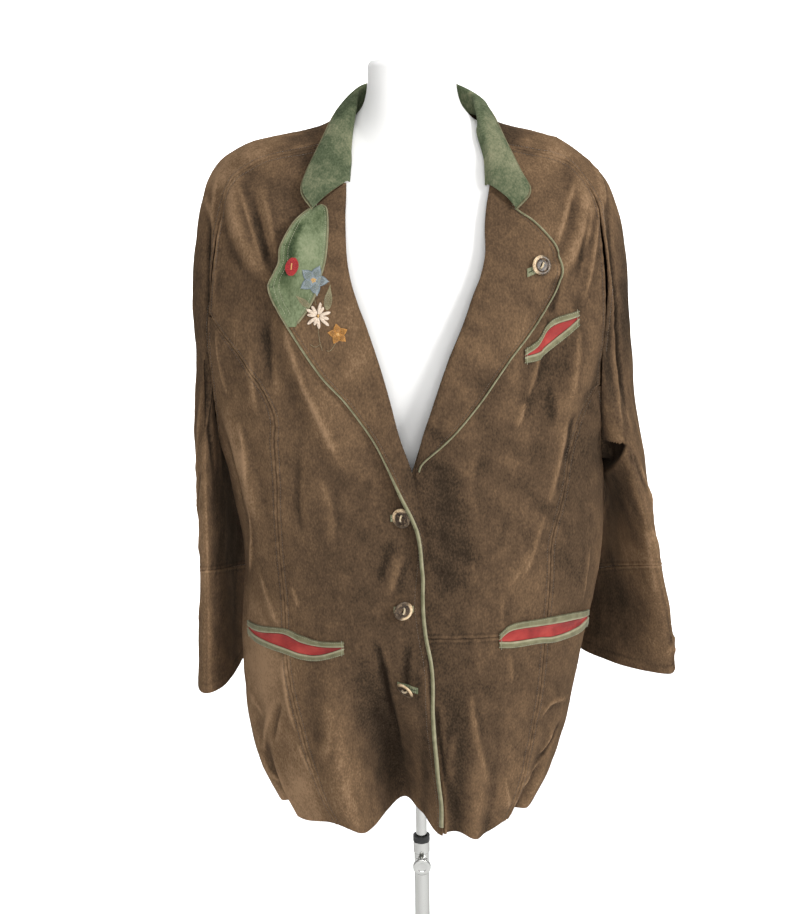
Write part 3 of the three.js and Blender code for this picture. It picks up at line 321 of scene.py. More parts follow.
def turned_piece(name, corners, material, body, node, segments=128):
    """A piece turned on a lathe from the radius and height of its corners, chamfered a little."""
    outline = []
    count = len(corners)
    for k, (radius, z) in enumerate(corners):
        here = np.array([radius, z], float)
        if radius < 1e-6:
            outline.append(here)
            continue
        for other in (corners[k - 1], corners[(k + 1) % count]):
            way = np.array(other, float) - here
            outline.append(here + way * min(0.4, 0.3 * np.linalg.norm(way)) / np.linalg.norm(way))
    turn = np.linspace(0, 2 * math.pi, segments, endpoint=False)
    points = [(r * math.cos(a), r * math.sin(a), z) for r, z in outline for a in turn]
    faces = []
    for k in range(len(outline)):
        n = (k + 1) % len(outline)
        if outline[k][0] < 1e-6 and outline[n][0] < 1e-6:
            continue
        for c in range(segments):
            d = (c + 1) % segments
            faces.append((k * segments + c, k * segments + d, n * segments + d, n * segments + c))
    piece = plain_mesh(name, points, faces, material, body)
    face_outwards(piece.data)
    piece.data.set_sharp_from_angle(angle=math.radians(32))
    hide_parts(node)
    return piece


def tube_outline(outer, bore, low, high):
    return [(bore, low), (outer, low), (outer, high), (bore, high)]


for name, node, body, material, corners, segments in [
    ("stand_base", "base_plate", "stand", chrome,
     [(0, 0), (178, 0), (180, 2), (180, 5), (177, 8), (24, 8), (20.5, 10), (20, 32), (18, 34),
      (9.9, 34), (9.9, 9), (0, 9)], 192),
    ("stand_tube", "outer_tube", "stand", chrome, tube_outline(9.5, 7.6, 9.3, 500), 128),
    ("clamp_sleeve", "clamp_collar", "stand", chrome, tube_outline(10.5, 7.4, 500.3, 515.7), 128),
    ("rubber_ring", "black_ring", "stand", rubber, tube_outline(10.7, 7.4, 516, 524), 128),
    ("form_rod", "height_rod", "post", chrome,
     [(0, 300), (7, 300), (7, 660.7), (32, 660.7), (32, 664.7), (0, 664.7)], 128),
    ("clamp_thumb_knob", "clamp_knob", "knob", chrome,
     [(0, 0), (3, 0), (3, 6.4), (11.5, 6.4), (11.5, 11.2), (10.5, 12.2), (6, 12.2), (5.4, 11.8),
      (0, 11.8)], 144),
]:
    knob = turned_piece(name, corners, material, body, node, segments)
# The knob, made last, is laid on its side, and its disc is cut with a ring of fine grips.
for corner in knob.data.vertices:
    x, y, z = corner.co / MM
    radius = math.hypot(x, y)
    if radius > 11 and z > 6.4:
        grip = 1 - 0.018 * (1 + math.cos(GRIPS * math.atan2(y, x)))
        x, y = x * grip, y * grip
    corner.co = Vector((x, BLOCK_FRONT - z, KNOB_LEVEL + y)) * MM
face_outwards(knob.data)
# The block that the knob screws into is brazed to the tube: a square bar with a bored hole.
turn = np.linspace(0, 2 * math.pi, BLOCK_ROUND + 1)[:-1]
ring = [(SCREW_HOLE * math.cos(a), SCREW_HOLE * math.sin(a)) for a in turn]
edge = []
for x, z in ring:
    reach = BLOCK_HALF / max(abs(x), abs(z))
    edge.append((x * reach, z * reach))
block_points = [
    (x, y, KNOB_LEVEL + z) for y in (BLOCK_FRONT, BLOCK_BACK) for row in (ring, edge)
    for x, z in row
]
block_faces = []
for c in range(BLOCK_ROUND):
    d = (c + 1) % BLOCK_ROUND
    (a, b), (e, f), (g, h), (m, n) = ((k + c, k + d) for k in range(0, 4 * BLOCK_ROUND, BLOCK_ROUND))
    block_faces += [(a, e, f, b), (h, n, m, g), (e, m, n, f), (b, h, g, a)]
clamp_block = plain_mesh("clamp_block", block_points, block_faces, chrome, "stand")
clamp_block.data.set_sharp_from_angle(angle=math.radians(30))
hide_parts("clamp_boss")

# ---------- fronts, side fronts and back ----------
# Brown pigskin suede, napped side out, cut in seven panels. Their edges are turned in and sewn
# # with a row of topstitching beside each seam, the hem is turned up, and the wearer's right front
# # laps over the left. The cloth has hung for years, so its ridges are rubbed pale. Its tone is also
# # painted: paler on crests as painted highlight, darker in folds and seam grooves as painted shade.
SUEDE = 1.6
CLEAR = 0.7
SEAM_GAP = 0.02
HEM = 592
NECK = 1433
UNDERARM = 1047
HIP_SEAM = 853
SEAM_TOP = {"right": 1226, "left": 1134}
SIDE_TOP = {"right": 1224, "left": 1132}
SIDES = {"right": -1, "left": 1}
SEAM_TURN = math.degrees(SEAM_GAP / 150)
HEM_RISE_TOP = 700
WIDEST_RADIUS = 190
SIDE_ANGLE = 93.0
CELL = 3.0
BACK_CELL = 5.2

# level, frontZ, backZ, right, left, front, back, middleY
body_rings = [
    [590, 586, 592, 182, 146, 150, 135, -4], [640, 638, 640, 202, 166, 154, 138, -4],
    [690, 690, 690, 211, 180, 156, 140, -4], [745, 745, 745, 215, 192, 158, 140, -4],
    [800, 800, 800, 219, 203, 158, 139, -4], [860, 860, 860, 215, 214, 158, 137, -4],
    [905, 905, 905, 211, 222, 157, 136, -3], [960, 960, 960, 216, 225, 156, 135, -2],
    [1010, 1010, 1010, 225, 224, 154, 134, 0], [1050, 1050, 1050, 233, 221, 152, 133, 2],
    [1100, 1098, 1100, 246, 231, 151, 132, 4], [1150, 1145, 1150, 257, 243, 149, 131, 6],
    [1200, 1188, 1198, 262, 248, 147, 130, 7], [1260, 1230, 1252, 261, 250, 141, 126, 8],
    [1310, 1262, 1298, 255, 244, 132, 118, 8], [1350, 1287, 1334, 244, 231, 121, 108, 8],
    [1375, 1304, 1357, 233, 212, 111, 100, 8], [1390, 1316, 1372, 219, 197, 102, 93, 8],
    [1400, 1326, 1384, 202, 183, 95, 87, 8], [1408, 1335, 1395, 186, 165, 89, 81, 8],
    [1414, 1345, 1404, 164, 142, 82, 75, 8], [1418.5, 1354, 1413, 140, 121, 76, 69, 8],
    [1425, 1366, 1425, 112, 98, 68, 62, 8], [1434, 1378, 1441, 88, 85, 60, 56, 8],
]
# topLevel, topAngle, lowLevel, lowAngle, halfWidth, height, endShare
large_folds = [
    [850, -13, 590, -6, 15, -84, 1], [900, -24, 590, -24, 12, 12, 1],
    [1400, -66, 1290, -37, 8, 8, 0], [1260, -32, 1040, -14, 10, 7, 0],
    [1130, -60, 930, -56, 9, 8, 0], [790, -66, 590, -62, 9, -12, 1], [1395, 67, 1290, 36, 8, 8, 0],
    [1340, 60, 1000, 38, 11, 9, 0], [1290, 34, 1090, 31, 10, -6, 0], [800, 15, 590, 19, 10, 13, 1],
    [760, 56, 590, 50, 9, -10, 1], [1230, 140, 590, 150, 14, 10, 1],
    [1100, 165, 590, 170, 11, -11, 1], [1200, 192, 590, 196, 13, 10, 1],
    [1260, 222, 760, 214, 12, -9, 0],
]
# angle, rise of the hem there
hem_rise = [
    [-180, 0], [-110, 4], [-66, 15], [-50, 11], [-35, 20], [-25, 25], [-15, 8], [-9, 0], [2, 2],
    [13, 15], [25, 6], [41, 15], [55, 14], [85, 10], [120, 4], [180, 0],
]


def smooth_step(low, high, at):
    t = np.clip((np.asarray(at, float) - low) / (high - low), 0, 1)
    return t * t * (3 - 2 * t)


def wrapped_turn(angle):
    return np.mod(angle + 180, 360) - 180


def fold_height(angle, level):
    height = np.zeros(np.broadcast(angle, level).shape)
    for top, top_angle, low, low_angle, half_width, rise, runs_out in large_folds:
        down = (top - level) / (top - low)
        run = np.clip(down, 0, 1)
        middle = top_angle + (low_angle - top_angle) * run
        across = np.minimum(np.abs(wrapped_turn(angle - middle)) / half_width, 1)
        along = smooth_step(0, 1, run) if runs_out else np.sin(run * math.pi)
        height = height + rise * np.cos(across * math.pi / 2) ** 2 * along
    return height


def smooth_body(angle, level):
    return oval(body_rings, angle, level)


def unit(vectors):
    return vectors / np.maximum(np.linalg.norm(vectors, axis=-1, keepdims=True), 1e-9)


def outward(surface, a, b, step_a, step_b):
    along = surface(a + step_a, b) - surface(a - step_a, b)
    up = surface(a, b + step_b) - surface(a, b - step_b)
    return unit(np.cross(along, up))


def folded_body(angle, level):
    """The cloth with its largest folds, as the CAD solids have it."""
    point = smooth_body(angle, level)
    share = np.clip((HEM_RISE_TOP - level) / (HEM_RISE_TOP - HEM), 0, 1)
    point[..., 2] += read(hem_rise, wrapped_turn(angle))[..., 0] * share**1.5
    height = fold_height(angle, level)
    point += outward(smooth_body, angle, level, 0.4, 0.8) * height[..., None]
    point[..., 2] -= np.minimum(height, 0) * 0.2
    return point


def body_facing(angle, level):
    return outward(folded_body, angle, level, 0.4, 0.8)


def on_body(angle, level, lift=0.0):
    return folded_body(angle, level) + body_facing(angle, level) * np.asarray(lift)[..., None]


def from_front(x, z):
    """The angle and level of the place on the body that shows at x and z from in front."""
    x, z = np.broadcast_arrays(np.asarray(x, float), np.asarray(z, float))
    level = z.copy()
    for _ in range(40):
        ring = read(body_rings, level)
        share = np.minimum(np.abs(x) / np.where(x > 0, ring[..., 3], ring[..., 2]), 0.999)
        angle = np.sign(x) * np.degrees(np.arcsin(share ** (SQUARE / 2)))
        level = level + (z - oval(body_rings, angle, level)[..., 2]) * 0.45
    return angle, level


# z, x of the wearer's right front edge, x of the left one
front_edges = [
    [590, 23, -19], [640, 23, -20], [695, 17, -26], [755, 14, -29], [800, 14, -29], [827, 12, -31],
    [855, 7, -35], [900, 3, -39], [960, 8, -35], [1000, 4, -26], [1030, -1, -14], [1060, -9, -4],
    [1092, -20, 6], [1137, -31, 21], [1180, -43, 36], [1220, -56, 53], [1250, -67, 64],
    [1284, -75, 78], [1320, -77, 79], [1345, -77, 82], [1372, -76, 88], [1400, -80, 86],
    [1430, -86, 82],
]
# level, angle of the right armhole, of the left one, and of both behind
armholes = [
    [1045, 93, 93, 93], [1060, 81, 80, 105], [1090, 74, 71, 111], [1130, 68, 62, 116],
    [1175, 65, 58, 119], [1240, 62, 56, 120], [1300, 60, 58, 121], [1335, 61, 61, 120],
    [1360, 63, 65, 118], [1380, 65, 67, 115], [1395, 67, 69, 113], [1410, 66, 66, 115],
    [1425, 61, 61, 119], [1440, 58, 58, 122],
]
# level, angle of the long seam of the right front, and of the left one
front_seams = [
    [590, 29, 41], [650, 33, 42], [735, 39, 43.5], [800, 42.5, 43], [870, 45, 40.5],
    [915, 46.5, 40], [960, 45.5, 40.5], [1000, 44, 45], [1040, 42, 49], [1080, 40, 51],
    [1110, 38, 53], [1140, 40, 60], [1180, 47, 60], [1215, 57, 60], [1240, 66, 60],
]
# level, angle of the neck seam
neck_seams = {
    "right": [[1417, 28.5], [1422, 36], [1427, 44], [1434, 57]],
    "left": [[1412, 31], [1418, 41], [1424, 53], [1434, 65]],
}
COLUMN = {"right": 0, "left": 1}


def armhole_at(side, level):
    return SIDES[side] * read(armholes, level)[..., COLUMN[side]]


def back_at(side, level):
    return SIDES[side] * read(armholes, level)[..., 2]


def seam_at(side, level):
    return SIDES[side] * read(front_seams, level)[..., COLUMN[side]]


def edge_at(side, level):
    """The angle at which a ring meets the front edge, or the neck seam higher up."""
    level = np.asarray(level, float)
    low, high = np.full(level.shape, -70.0), np.full(level.shape, 70.0)
    for _ in range(30):
        angle = (low + high) / 2
        point = smooth_body(angle, level)
        short = point[..., 0] < read(front_edges, point[..., 2])[..., COLUMN[side]]
        low, high = np.where(short, angle, low), np.where(short, high, angle)
    neck = SIDES[side] * read(neck_seams[side], level)[..., 0]
    return np.where(level >= neck_seams[side][0][0], neck, (low + high) / 2)


def outer_edge(side, level):
    return np.where(level < SEAM_TOP[side], seam_at(side, level), armhole_at(side, level))


def side_edge(side, level):
    return np.where(level < UNDERARM, SIDES[side] * SIDE_ANGLE, armhole_at(side, level))


def back_edge(side, level):
    """The edge of the back towards the side seam, with the angle running on past the middle."""
    angle = np.where(level < UNDERARM, SIDES[side] * SIDE_ANGLE, back_at(side, level))
    return angle if side == "left" else 360 + angle


def back_middle(_, level):
    return np.full(level.shape, 180.0)


def under_lift(angle, level):
    """How far the left front lies back where it passes under the right one."""
    beyond = angle - edge_at("right", level)
    share = (1 - smooth_step(3, 16, beyond)) * (1 - smooth_step(1080, 1200, level))
    return -2 * (SUEDE + CLEAR) * share


# Smaller folds and creases, seen from in front: x and z where each starts, at its middle and
# where it dies, its half width, its height, and 1 where its crest is sharp.
front_creases = [
    [-199, 1372, -184, 1324, -166, 1270, 6, 4.5, 1],
    [-173, 1370, -162, 1329, -153, 1285, 5, 3.6, 1],
    [-185, 1366, -172, 1318, -160, 1278, 6, -2.4, 0],
    [-149, 1226, -135, 1178, -119, 1133, 6, 3.4, 1],
    [-132, 1158, -110, 1117, -85, 1055, 13, 3.2, 1],
    [-166, 1232, -168, 1187, -164, 1129, 10, -2, 0],
    [-188, 1193, -187, 1147, -182, 1106, 9, 2.2, 0],
    [-212, 1345, -224, 1289, -229, 1214, 5, 2.6, 1], [-227, 1214, -224, 1164, -216, 1124, 5, 3, 1],
    [-207, 1106, -198, 1067, -195, 1007, 6, 3, 1], [-195, 1007, -196, 941, -204, 900, 6, 3.4, 1],
    [-218, 1087, -210, 1034, -203, 984, 6, -2.6, 0], [-30, 980, -39, 948, -56, 912, 14, -1.6, 0],
    [-17, 965, -27, 932, -37, 900, 8, 1.6, 0], [-190, 926, -178, 886, -162, 845, 8, 2, 1],
    [-149, 911, -144, 897, -141, 882, 4, 2, 1], [-116, 1053, -101, 1007, -100, 948, 14, 2, 0],
    [-134, 1087, -139, 1016, -129, 970, 12, -2, 0],
    [-150, 1213, -140, 1246, -145, 1262, 6, -1.5, 0], [-53, 858, -39, 785, -25, 627, 6, -5, 1],
    [-161, 826, -159, 776, -145, 713, 6, 3, 1], [-171, 774, -190, 704, -195, 669, 8, 2.5, 1],
    [-209, 752, -199, 740, -188, 728, 5, 2.2, 1], [-196, 672, -189, 639, -171, 617, 5, 3, 1],
    [-147, 713, -140, 691, -130, 667, 5, 1.6, 1], [-165, 762, -173, 731, -180, 695, 6, -2.2, 0],
    [-89, 661, -82, 640, -77, 618, 8, 2.2, 0], [-9, 854, -15, 817, -11, 777, 6, -1.6, 0],
    [6, 830, 8, 779, 17, 700, 6, 1.6, 0], [-117, 788, -107, 740, -118, 684, 14, 1.8, 0],
    [186, 1369, 171, 1330, 157, 1293, 6, 4.5, 1], [211, 1343, 204, 1295, 189, 1228, 6, 4.2, 1],
    [198, 1344, 191, 1304, 180, 1249, 7, -2.4, 0], [148, 1227, 139, 1169, 126, 1129, 5, 3.6, 1],
    [126, 1129, 120, 1113, 114, 1094, 5, 2.6, 1], [185, 1213, 179, 1159, 170, 1112, 7, 3.6, 1],
    [170, 1112, 161, 1055, 146, 990, 9, 3.6, 1], [148, 1004, 134, 956, 114, 910, 8, 2, 1],
    [150, 1145, 154, 1118, 153, 1093, 10, -1.4, 0], [178, 1116, 174, 1077, 171, 1037, 7, -2.6, 0],
    [165, 1281, 159, 1244, 153, 1222, 8, -3, 0], [203, 946, 200, 904, 197, 862, 5, 2.2, 1],
    [128, 960, 117, 932, 97, 907, 6, 1.2, 1], [97, 907, 95, 882, 97, 856, 5, 1.3, 1],
    [61, 952, 64, 930, 69, 910, 4, 0.8, 1], [-2, 1030, 9, 983, 13, 934, 12, -0.5, 0],
    [206, 1139, 217, 1043, 224, 977, 5, 2.6, 1], [71, 1088, 59, 1042, 66, 995, 14, 1.0, 0],
    [99, 1016, 94, 970, 69, 948, 12, -0.6, 0], [58, 789, 64, 732, 76, 665, 7, 4.2, 1],
    [104, 834, 106, 812, 107, 788, 4, 2.2, 1], [182, 736, 159, 748, 143, 727, 5, 3, 1],
    [172, 719, 158, 688, 139, 657, 6, -2.6, 0], [164, 712, 154, 687, 144, 676, 5, 2.6, 1],
    [152, 672, 134, 651, 116, 640, 6, 2.6, 1], [98, 670, 103, 635, 102, 607, 5, 2, 1],
    [19, 779, 22, 715, 29, 646, 8, -3.4, 0], [40, 650, 35, 701, 43, 753, 9, 2, 0],
    [105, 1411, 145, 1404, 182, 1394, 4, 1.6, 1], [112, 1402, 152, 1396, 189, 1382, 4, 1.5, 1],
    [-99, 1423, -150, 1415, -195, 1392, 5, 1.6, 1], [-109, 1414, -154, 1408, -200, 1381, 4, 1.3, 1],
    [-240, 1354, -231, 1335, -225, 1310, 5, 3.2, 1],
    [-222, 1385, -228, 1352, -225, 1319, 5, 2.2, 1], [208, 1379, 218, 1360, 218, 1329, 5, 2.6, 1],
    [194, 1392, 210, 1374, 214, 1352, 4, 2, 1],
]
# The same for the back, by angle and level.
back_creases = [
    [128, 1300, 138, 1215, 142, 1130, 11, 3.4, 1], [150, 1330, 153, 1255, 160, 1180, 10, 2.6, 1],
    [232, 1310, 222, 1225, 218, 1140, 11, 3.2, 1], [205, 1340, 204, 1270, 198, 1200, 10, 2.4, 1],
    [112, 1090, 124, 1025, 132, 960, 9, 3.6, 1], [250, 1090, 239, 1020, 232, 950, 9, 3.6, 1],
    [120, 1000, 128, 940, 140, 880, 9, 2.8, 1], [238, 990, 232, 930, 222, 870, 10, 2.6, 1],
    [172, 1060, 176, 970, 176, 880, 13, -2.8, 0], [160, 850, 161, 745, 158, 640, 12, 2.8, 1],
    [186, 900, 183, 800, 184, 700, 12, 2.6, 1], [212, 830, 213, 735, 208, 640, 11, 3.0, 1],
    [228, 780, 228, 705, 232, 630, 9, 2.6, 1], [134, 800, 134, 720, 130, 640, 10, 2.8, 1],
    [108, 900, 112, 830, 112, 760, 9, 2.6, 1], [254, 880, 250, 810, 250, 740, 9, 2.8, 1],
]
CREASE_STEPS = 12


def curve_through(first, middle, last):
    """Points of a smooth bow that starts, passes its middle and ends at three places."""
    t = np.linspace(0, 1, CREASE_STEPS)
    return first * (1 - t) * (1 - 2 * t) + middle * 4 * t * (1 - t) + last * t * (2 * t - 1)


def lines_on(surface, table):
    """The creases of a table, each with its line laid on a surface."""
    lines = []
    for a0, b0, a1, b1, a2, b2, width, rise, crest in table:
        line = surface(curve_through(a0, a1, a2), curve_through(b0, b1, b2))
        lines.append((line, width, rise, crest))
    return lines


crease_lines = lines_on(lambda x, z: folded_body(*from_front(x, z)), front_creases)
crease_lines += lines_on(folded_body, back_creases)


def crease_field(points, facing, lines):
    """The lift of fine creases, how much their crests are paled, as rubbed nap and painted
    highlight, and how much their valleys are darkened, as painted shade. Each dies away from its
    line and towards both its ends."""
    flat = points.reshape(-1, 3)
    normal = facing.reshape(-1, 3)
    height, rub_and_shade = np.zeros(len(flat)), np.zeros(len(flat))
    for line, width, rise, crest in lines:
        reach = 4.5 * width
        near = ((flat > line.min(0) - reach) & (flat < line.max(0) + reach)).all(1)
        near = np.nonzero(near)[0]
        if not len(near):
            continue
        place, best = flat[near], np.full(len(near), 1e9)
        along, hand = np.zeros(len(near)), np.ones(len(near))
        for k in range(len(line) - 1):
            way = line[k + 1] - line[k]
            off = place - line[k]
            t = np.clip(off @ way / (way @ way), 0, 1)
            miss = off - t[:, None] * way
            far = np.linalg.norm(miss, axis=1)
            closer = far < best
            best = np.where(closer, far, best)
            along = np.where(closer, (k + t) / (len(line) - 1), along)
            turned = np.einsum("ij,ij->i", np.cross(way, miss), normal[near])
            hand = np.where(closer, np.sign(turned), hand)
        spread = width * np.where(hand > 0, 0.45, 1.2)
        bell = np.exp(-best / spread) if crest else np.exp(-((best / spread) ** 2))
        fade = smooth_step(0, 0.35, along) * smooth_step(0, 0.35, 1 - along)
        height[near] += rise * bell * fade
        core = np.exp(-((best / (0.4 * width)) ** 2))
        rub_and_shade[near] += max(rise / 5, -0.25) * core * fade
    shape = points.shape[:-1]
    return height.reshape(shape), rub_and_shade.reshape(shape)


def crease_height(points, facing, lines):
    return crease_field(points, facing, lines)[0]


# Slow waves of the cloth, as sums of turned sine waves: length, direction and height of each.
slow_waves = []
waver = np.random.default_rng(11)
for length, rise in [(210, 1.1), (150, 0.9), (95, 0.7), (70, 0.5), (44, 0.34), (31, 0.24)] * 3:
    way = unit(waver.normal(size=3) * (1, 1, 0.55))
    slow_waves.append((way * 2 * math.pi / length, waver.uniform(0, 6.28), rise * 0.46))


def wave_height(points):
    height = np.zeros(points.shape[:-1])
    for way, phase, rise in slow_waves:
        bent = points @ way + 0.9 * np.sin(points @ way[[1, 2, 0]] * 0.6 + phase)
        height = height + rise * np.sin(bent + phase)
    return height


def spread_between(low, high, cell):
    """Even steps of about one cell, with finer steps beside both ends."""
    ends = np.array([0, 0.5, 1.2, 2.2, 3.4, 4.8, 6.2, 7.8])
    if high - low < 24:
        ends = ends[:3]
    count = max(int(round((high - low) / cell)), 4)
    inner = np.linspace(0, 1, count + 1)[1:-1] * (high - low) + low
    inner = inner[(inner > low + ends[-1] + 1) & (inner < high - ends[-1] - 1)]
    return np.concatenate([low + ends, inner, high - ends[::-1]])


def arc_from_start(points, axis):
    steps = np.linalg.norm(np.diff(points, axis=axis), axis=-1)
    start = np.zeros_like(np.take(steps, [0], axis=axis))
    return np.cumsum(np.concatenate([start, steps], axis=axis), axis=axis)


def edge_distances(points):
    """How far each point of a grid is from its first and last row, and first and last column."""
    up, across = arc_from_start(points, 0), arc_from_start(points, 1)
    return up, up[-1:] - up, across, across[:, -1:] - across


def seam_relief(distance, phase=0.0, along=0.0):
    """The edge turned in to a seam, the puff beside it, and the pucker of its stitches."""
    dip = -0.45 * np.exp(-((distance / 0.8) ** 2))
    puff = 0.4 * np.exp(-(((distance - 2.4) / 1.3) ** 2))
    pull = -0.25 * np.exp(-(((distance - 5.4) / 1.1) ** 2))
    pucker = 0.28 * np.sin(along / 2.6 + phase) * np.exp(-((distance / 9) ** 2))
    return dip + puff + pull + pucker * np.sin(along / 17 + 2 * phase)


def ridge_share(points, facing, span):
    """How much a point stands out from the cloth around it: 0 in a valley, 1 on a crest."""
    soft = points.copy()
    for _ in range(span):
        for axis in (0, 1):
            pad = [(1, 1) if a == axis else (0, 0) for a in range(3)]
            wide = np.pad(soft, pad, mode="reflect", reflect_type="odd")
            a = np.take(wide, range(0, soft.shape[axis]), axis=axis)
            b = np.take(wide, range(2, soft.shape[axis] + 2), axis=axis)
            soft = 0.5 * soft + 0.25 * (a + b)
    return np.sum((points - soft) * facing, axis=-1)


def cloth(name, points, facing, thickness, material, node=None,
          closed=False, there=None, wear_and_shade=None):
    """A wall of cloth from a grid of points, with rounded edges. Its back lies behind them."""
    rows, columns = points.shape[:2]
    spans = columns if closed else columns - 1
    r, c = np.meshgrid(np.arange(rows - 1), np.arange(spans), indexing="ij")
    if there is not None:
        keep = there[:rows - 1, :spans]
        r, c = r[keep], c[keep]
    r, c = r.ravel(), c.ravel()
    d = (c + 1) % columns
    corners = [r * columns + c, r * columns + d, (r + 1) * columns + d, (r + 1) * columns + c]
    quads = np.stack(corners, 1)
    face, normal = points.reshape(-1, 3), facing.reshape(-1, 3)
    a, b = face[quads[:, 2]] - face[quads[:, 0]], face[quads[:, 3]] - face[quads[:, 1]]
    if np.sum(np.cross(a, b) * normal[quads[:, 0]]) < 0:
        quads = quads[:, ::-1]
    sides = np.concatenate([quads[:, [k, (k + 1) % 4]] for k in range(4)])
    keys = sides[:, 0] * len(face) + sides[:, 1]
    rim = sides[~np.isin(keys, sides[:, 1] * len(face) + sides[:, 0])]
    start, end = rim[:, 0], rim[:, 1]
    away = np.zeros_like(face)
    for tip in (start, end):
        np.add.at(away, tip, np.cross(face[end] - face[start], normal[tip]))
    away = unit(away)
    edge = np.unique(rim)
    round_off = np.zeros((len(face), 1))
    round_off[edge] = 0.14 * thickness
    outer = face - away * round_off
    inner = face - normal * thickness - away * round_off
    middle = face[edge] - normal[edge] * thickness / 2
    place_of = np.full(len(face), -1)
    place_of[edge] = np.arange(len(edge)) + 2 * len(face)
    faces = np.concatenate([
        quads,
        quads[:, ::-1] + len(face),
        np.stack([end, start, place_of[start], place_of[end]], 1),
        np.stack([place_of[end], place_of[start], start + len(face), end + len(face)], 1),
    ])
    everything = np.concatenate([outer, inner, middle])
    wear_shade = np.full(len(face), 0.5) if wear_and_shade is None else np.clip(wear_and_shade, 0, 1).ravel()
    # The back face of the cloth gets a darker share than its front: painted shade on the inside.
    wear_shade = np.concatenate([wear_shade, wear_shade * 0.6, wear_shade[edge]])
    used = np.unique(faces)
    new_place = np.full(len(everything), -1)
    new_place[used] = np.arange(len(used))
    piece = plain_mesh(name, everything[used], new_place[faces], material, "form")
    layer = piece.data.attributes.new("wear_shade", "FLOAT", "POINT")
    layer.data.foreach_set("value", wear_shade[used].astype(np.float32))
    if node:
        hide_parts(node)
    return piece


def maths(tree, operation, *values):
    inputs = {f"i{k}": value for k, value in enumerate(values)}
    return add_node(tree, "ShaderNodeMath", {"operation": operation}, **inputs).outputs[0]


def carried(tree, name, output="Fac"):
    """What a mesh carries at its points, under a name."""
    return add_node(tree, "ShaderNodeAttribute", {"attribute_name": name}).outputs[output]


def even(tones):
    return list(zip(np.linspace(0, 1, len(tones)), tones))


def suede(name, tones, fuzz, shares=(0.25, 0.24, 0.4)):
    """Napped leather. Its tones run from the dark of the folds, by the flat cloth in the middle,
    to the rubbed crests: the dark end is painted shade and the pale end rubbed nap with a painted
    highlight. Clouds, brushed streaks and fine grain make them uneven."""
    material, tree, shader = new_material(
        name, Roughness=0.95, Specular_IOR_Level=0.0, Sheen_Weight=0.1, Sheen_Roughness=0.55,
        Sheen_Tint=(*fuzz, 1),
    )
    place = object_place(tree)
    brushed = add_node(
        tree, "ShaderNodeMapping", Vector=place, Scale=(1.0, 1.0, 0.6), Rotation=(0.2, 0.35, 0.1)
    ).outputs[0]
    patches = noise(tree, place, 17.0, 9.0, Roughness=0.68, Distortion=0.6)
    mottle = noise(tree, brushed, 120.0, 6.0, Roughness=0.68)
    nap = noise(tree, brushed, 520.0, 4.0)
    grain = noise(tree, place, 1700.0, 2.0)
    uneven = carried(tree, "wear_shade")
    for spots, share in zip((patches, mottle, nap), shares):
        scaled = add_node(
            tree, "ShaderNodeMapRange", Value=spots, From_Min=0.2, From_Max=0.8,
            To_Min=-0.5 * share, To_Max=0.5 * share,
        )
        uneven = maths(tree, "ADD", uneven, scaled.outputs["Result"])
    coarse = bump(tree, mottle, 0.5, 0.0007)
    brushy = bump(tree, nap, 0.45, 0.0005, Normal=coarse)
    fine = bump(tree, grain, 0.4, 0.0002, Normal=brushy)
    joined(tree, shader, ramp(tree, uneven, even(tones)), fine)
    return material


# Patches painted lighter or darker on the cloth that faces the front: painted light and shade,
# # with some fading of the nap. Seen from in front: x, z, half width, half height and change.
fade_and_shade_patches = [
    [40, 980, 50, 110, -0.2], [-195, 800, 50, 110, 0.44], [0, 760, 110, 110, -0.14],
    [-240, 1050, 90, 110, 0.26], [250, 910, 35, 70, 0.42], [200, 1080, 50, 110, -0.12],
    [-140, 630, 35, 70, 0.45], [-80, 1180, 50, 110, 0.15], [160, 1320, 60, 60, 0.12],
    [-240, 1400, 50, 110, 0.24], [-80, 960, 60, 60, -0.11], [260, 1220, 35, 70, -0.45],
    [-280, 940, 35, 70, 0.46], [-140, 1380, 35, 35, -0.17], [100, 660, 35, 70, 0.16],
    [40, 680, 35, 70, -0.20], [180, 940, 35, 70, -0.13], [120, 920, 35, 35, 0.14],
    [0, 620, 35, 70, 0.21], [-80, 1420, 35, 70, 0.29], [0, 1040, 35, 35, -0.08],
    [-40, 820, 35, 70, -0.11],
]


def wear_and_shade_share(points, facing, lines=()):
    """How pale the nap is painted: 0 deep in a fold, 0.5 on flat cloth and 1 on a sharp crest.
    The dark of folds is painted shade, the pale of crests rubbed nap with a painted highlight,
    and the patches add painted light and shade.
    """
    broad, sharp = ridge_share(points, facing, 50), ridge_share(points, facing, 5)
    share = 0.5 + 0.10 * np.tanh(broad / 2.5) + 0.2 * np.tanh(sharp / 0.6)
    share = share + 0.28 * crease_field(points, facing, lines)[1]
    for x, z, half_width, half_height, change in fade_and_shade_patches:
        away = ((points[..., 0] - x) / half_width) ** 2 + ((points[..., 2] - z) / half_height) ** 2
        share = share + change * np.exp(-away) * smooth_step(0.3, -0.2, facing[..., 1])
    return share


brown_suede = suede(
    "brown_suede",
    [(0.014, 0.009, 0.006), (0.038, 0.026, 0.017), (0.087, 0.055, 0.033), (0.153, 0.095, 0.053),
     (0.271, 0.172, 0.099)],
    (0.42, 0.31, 0.22),
)


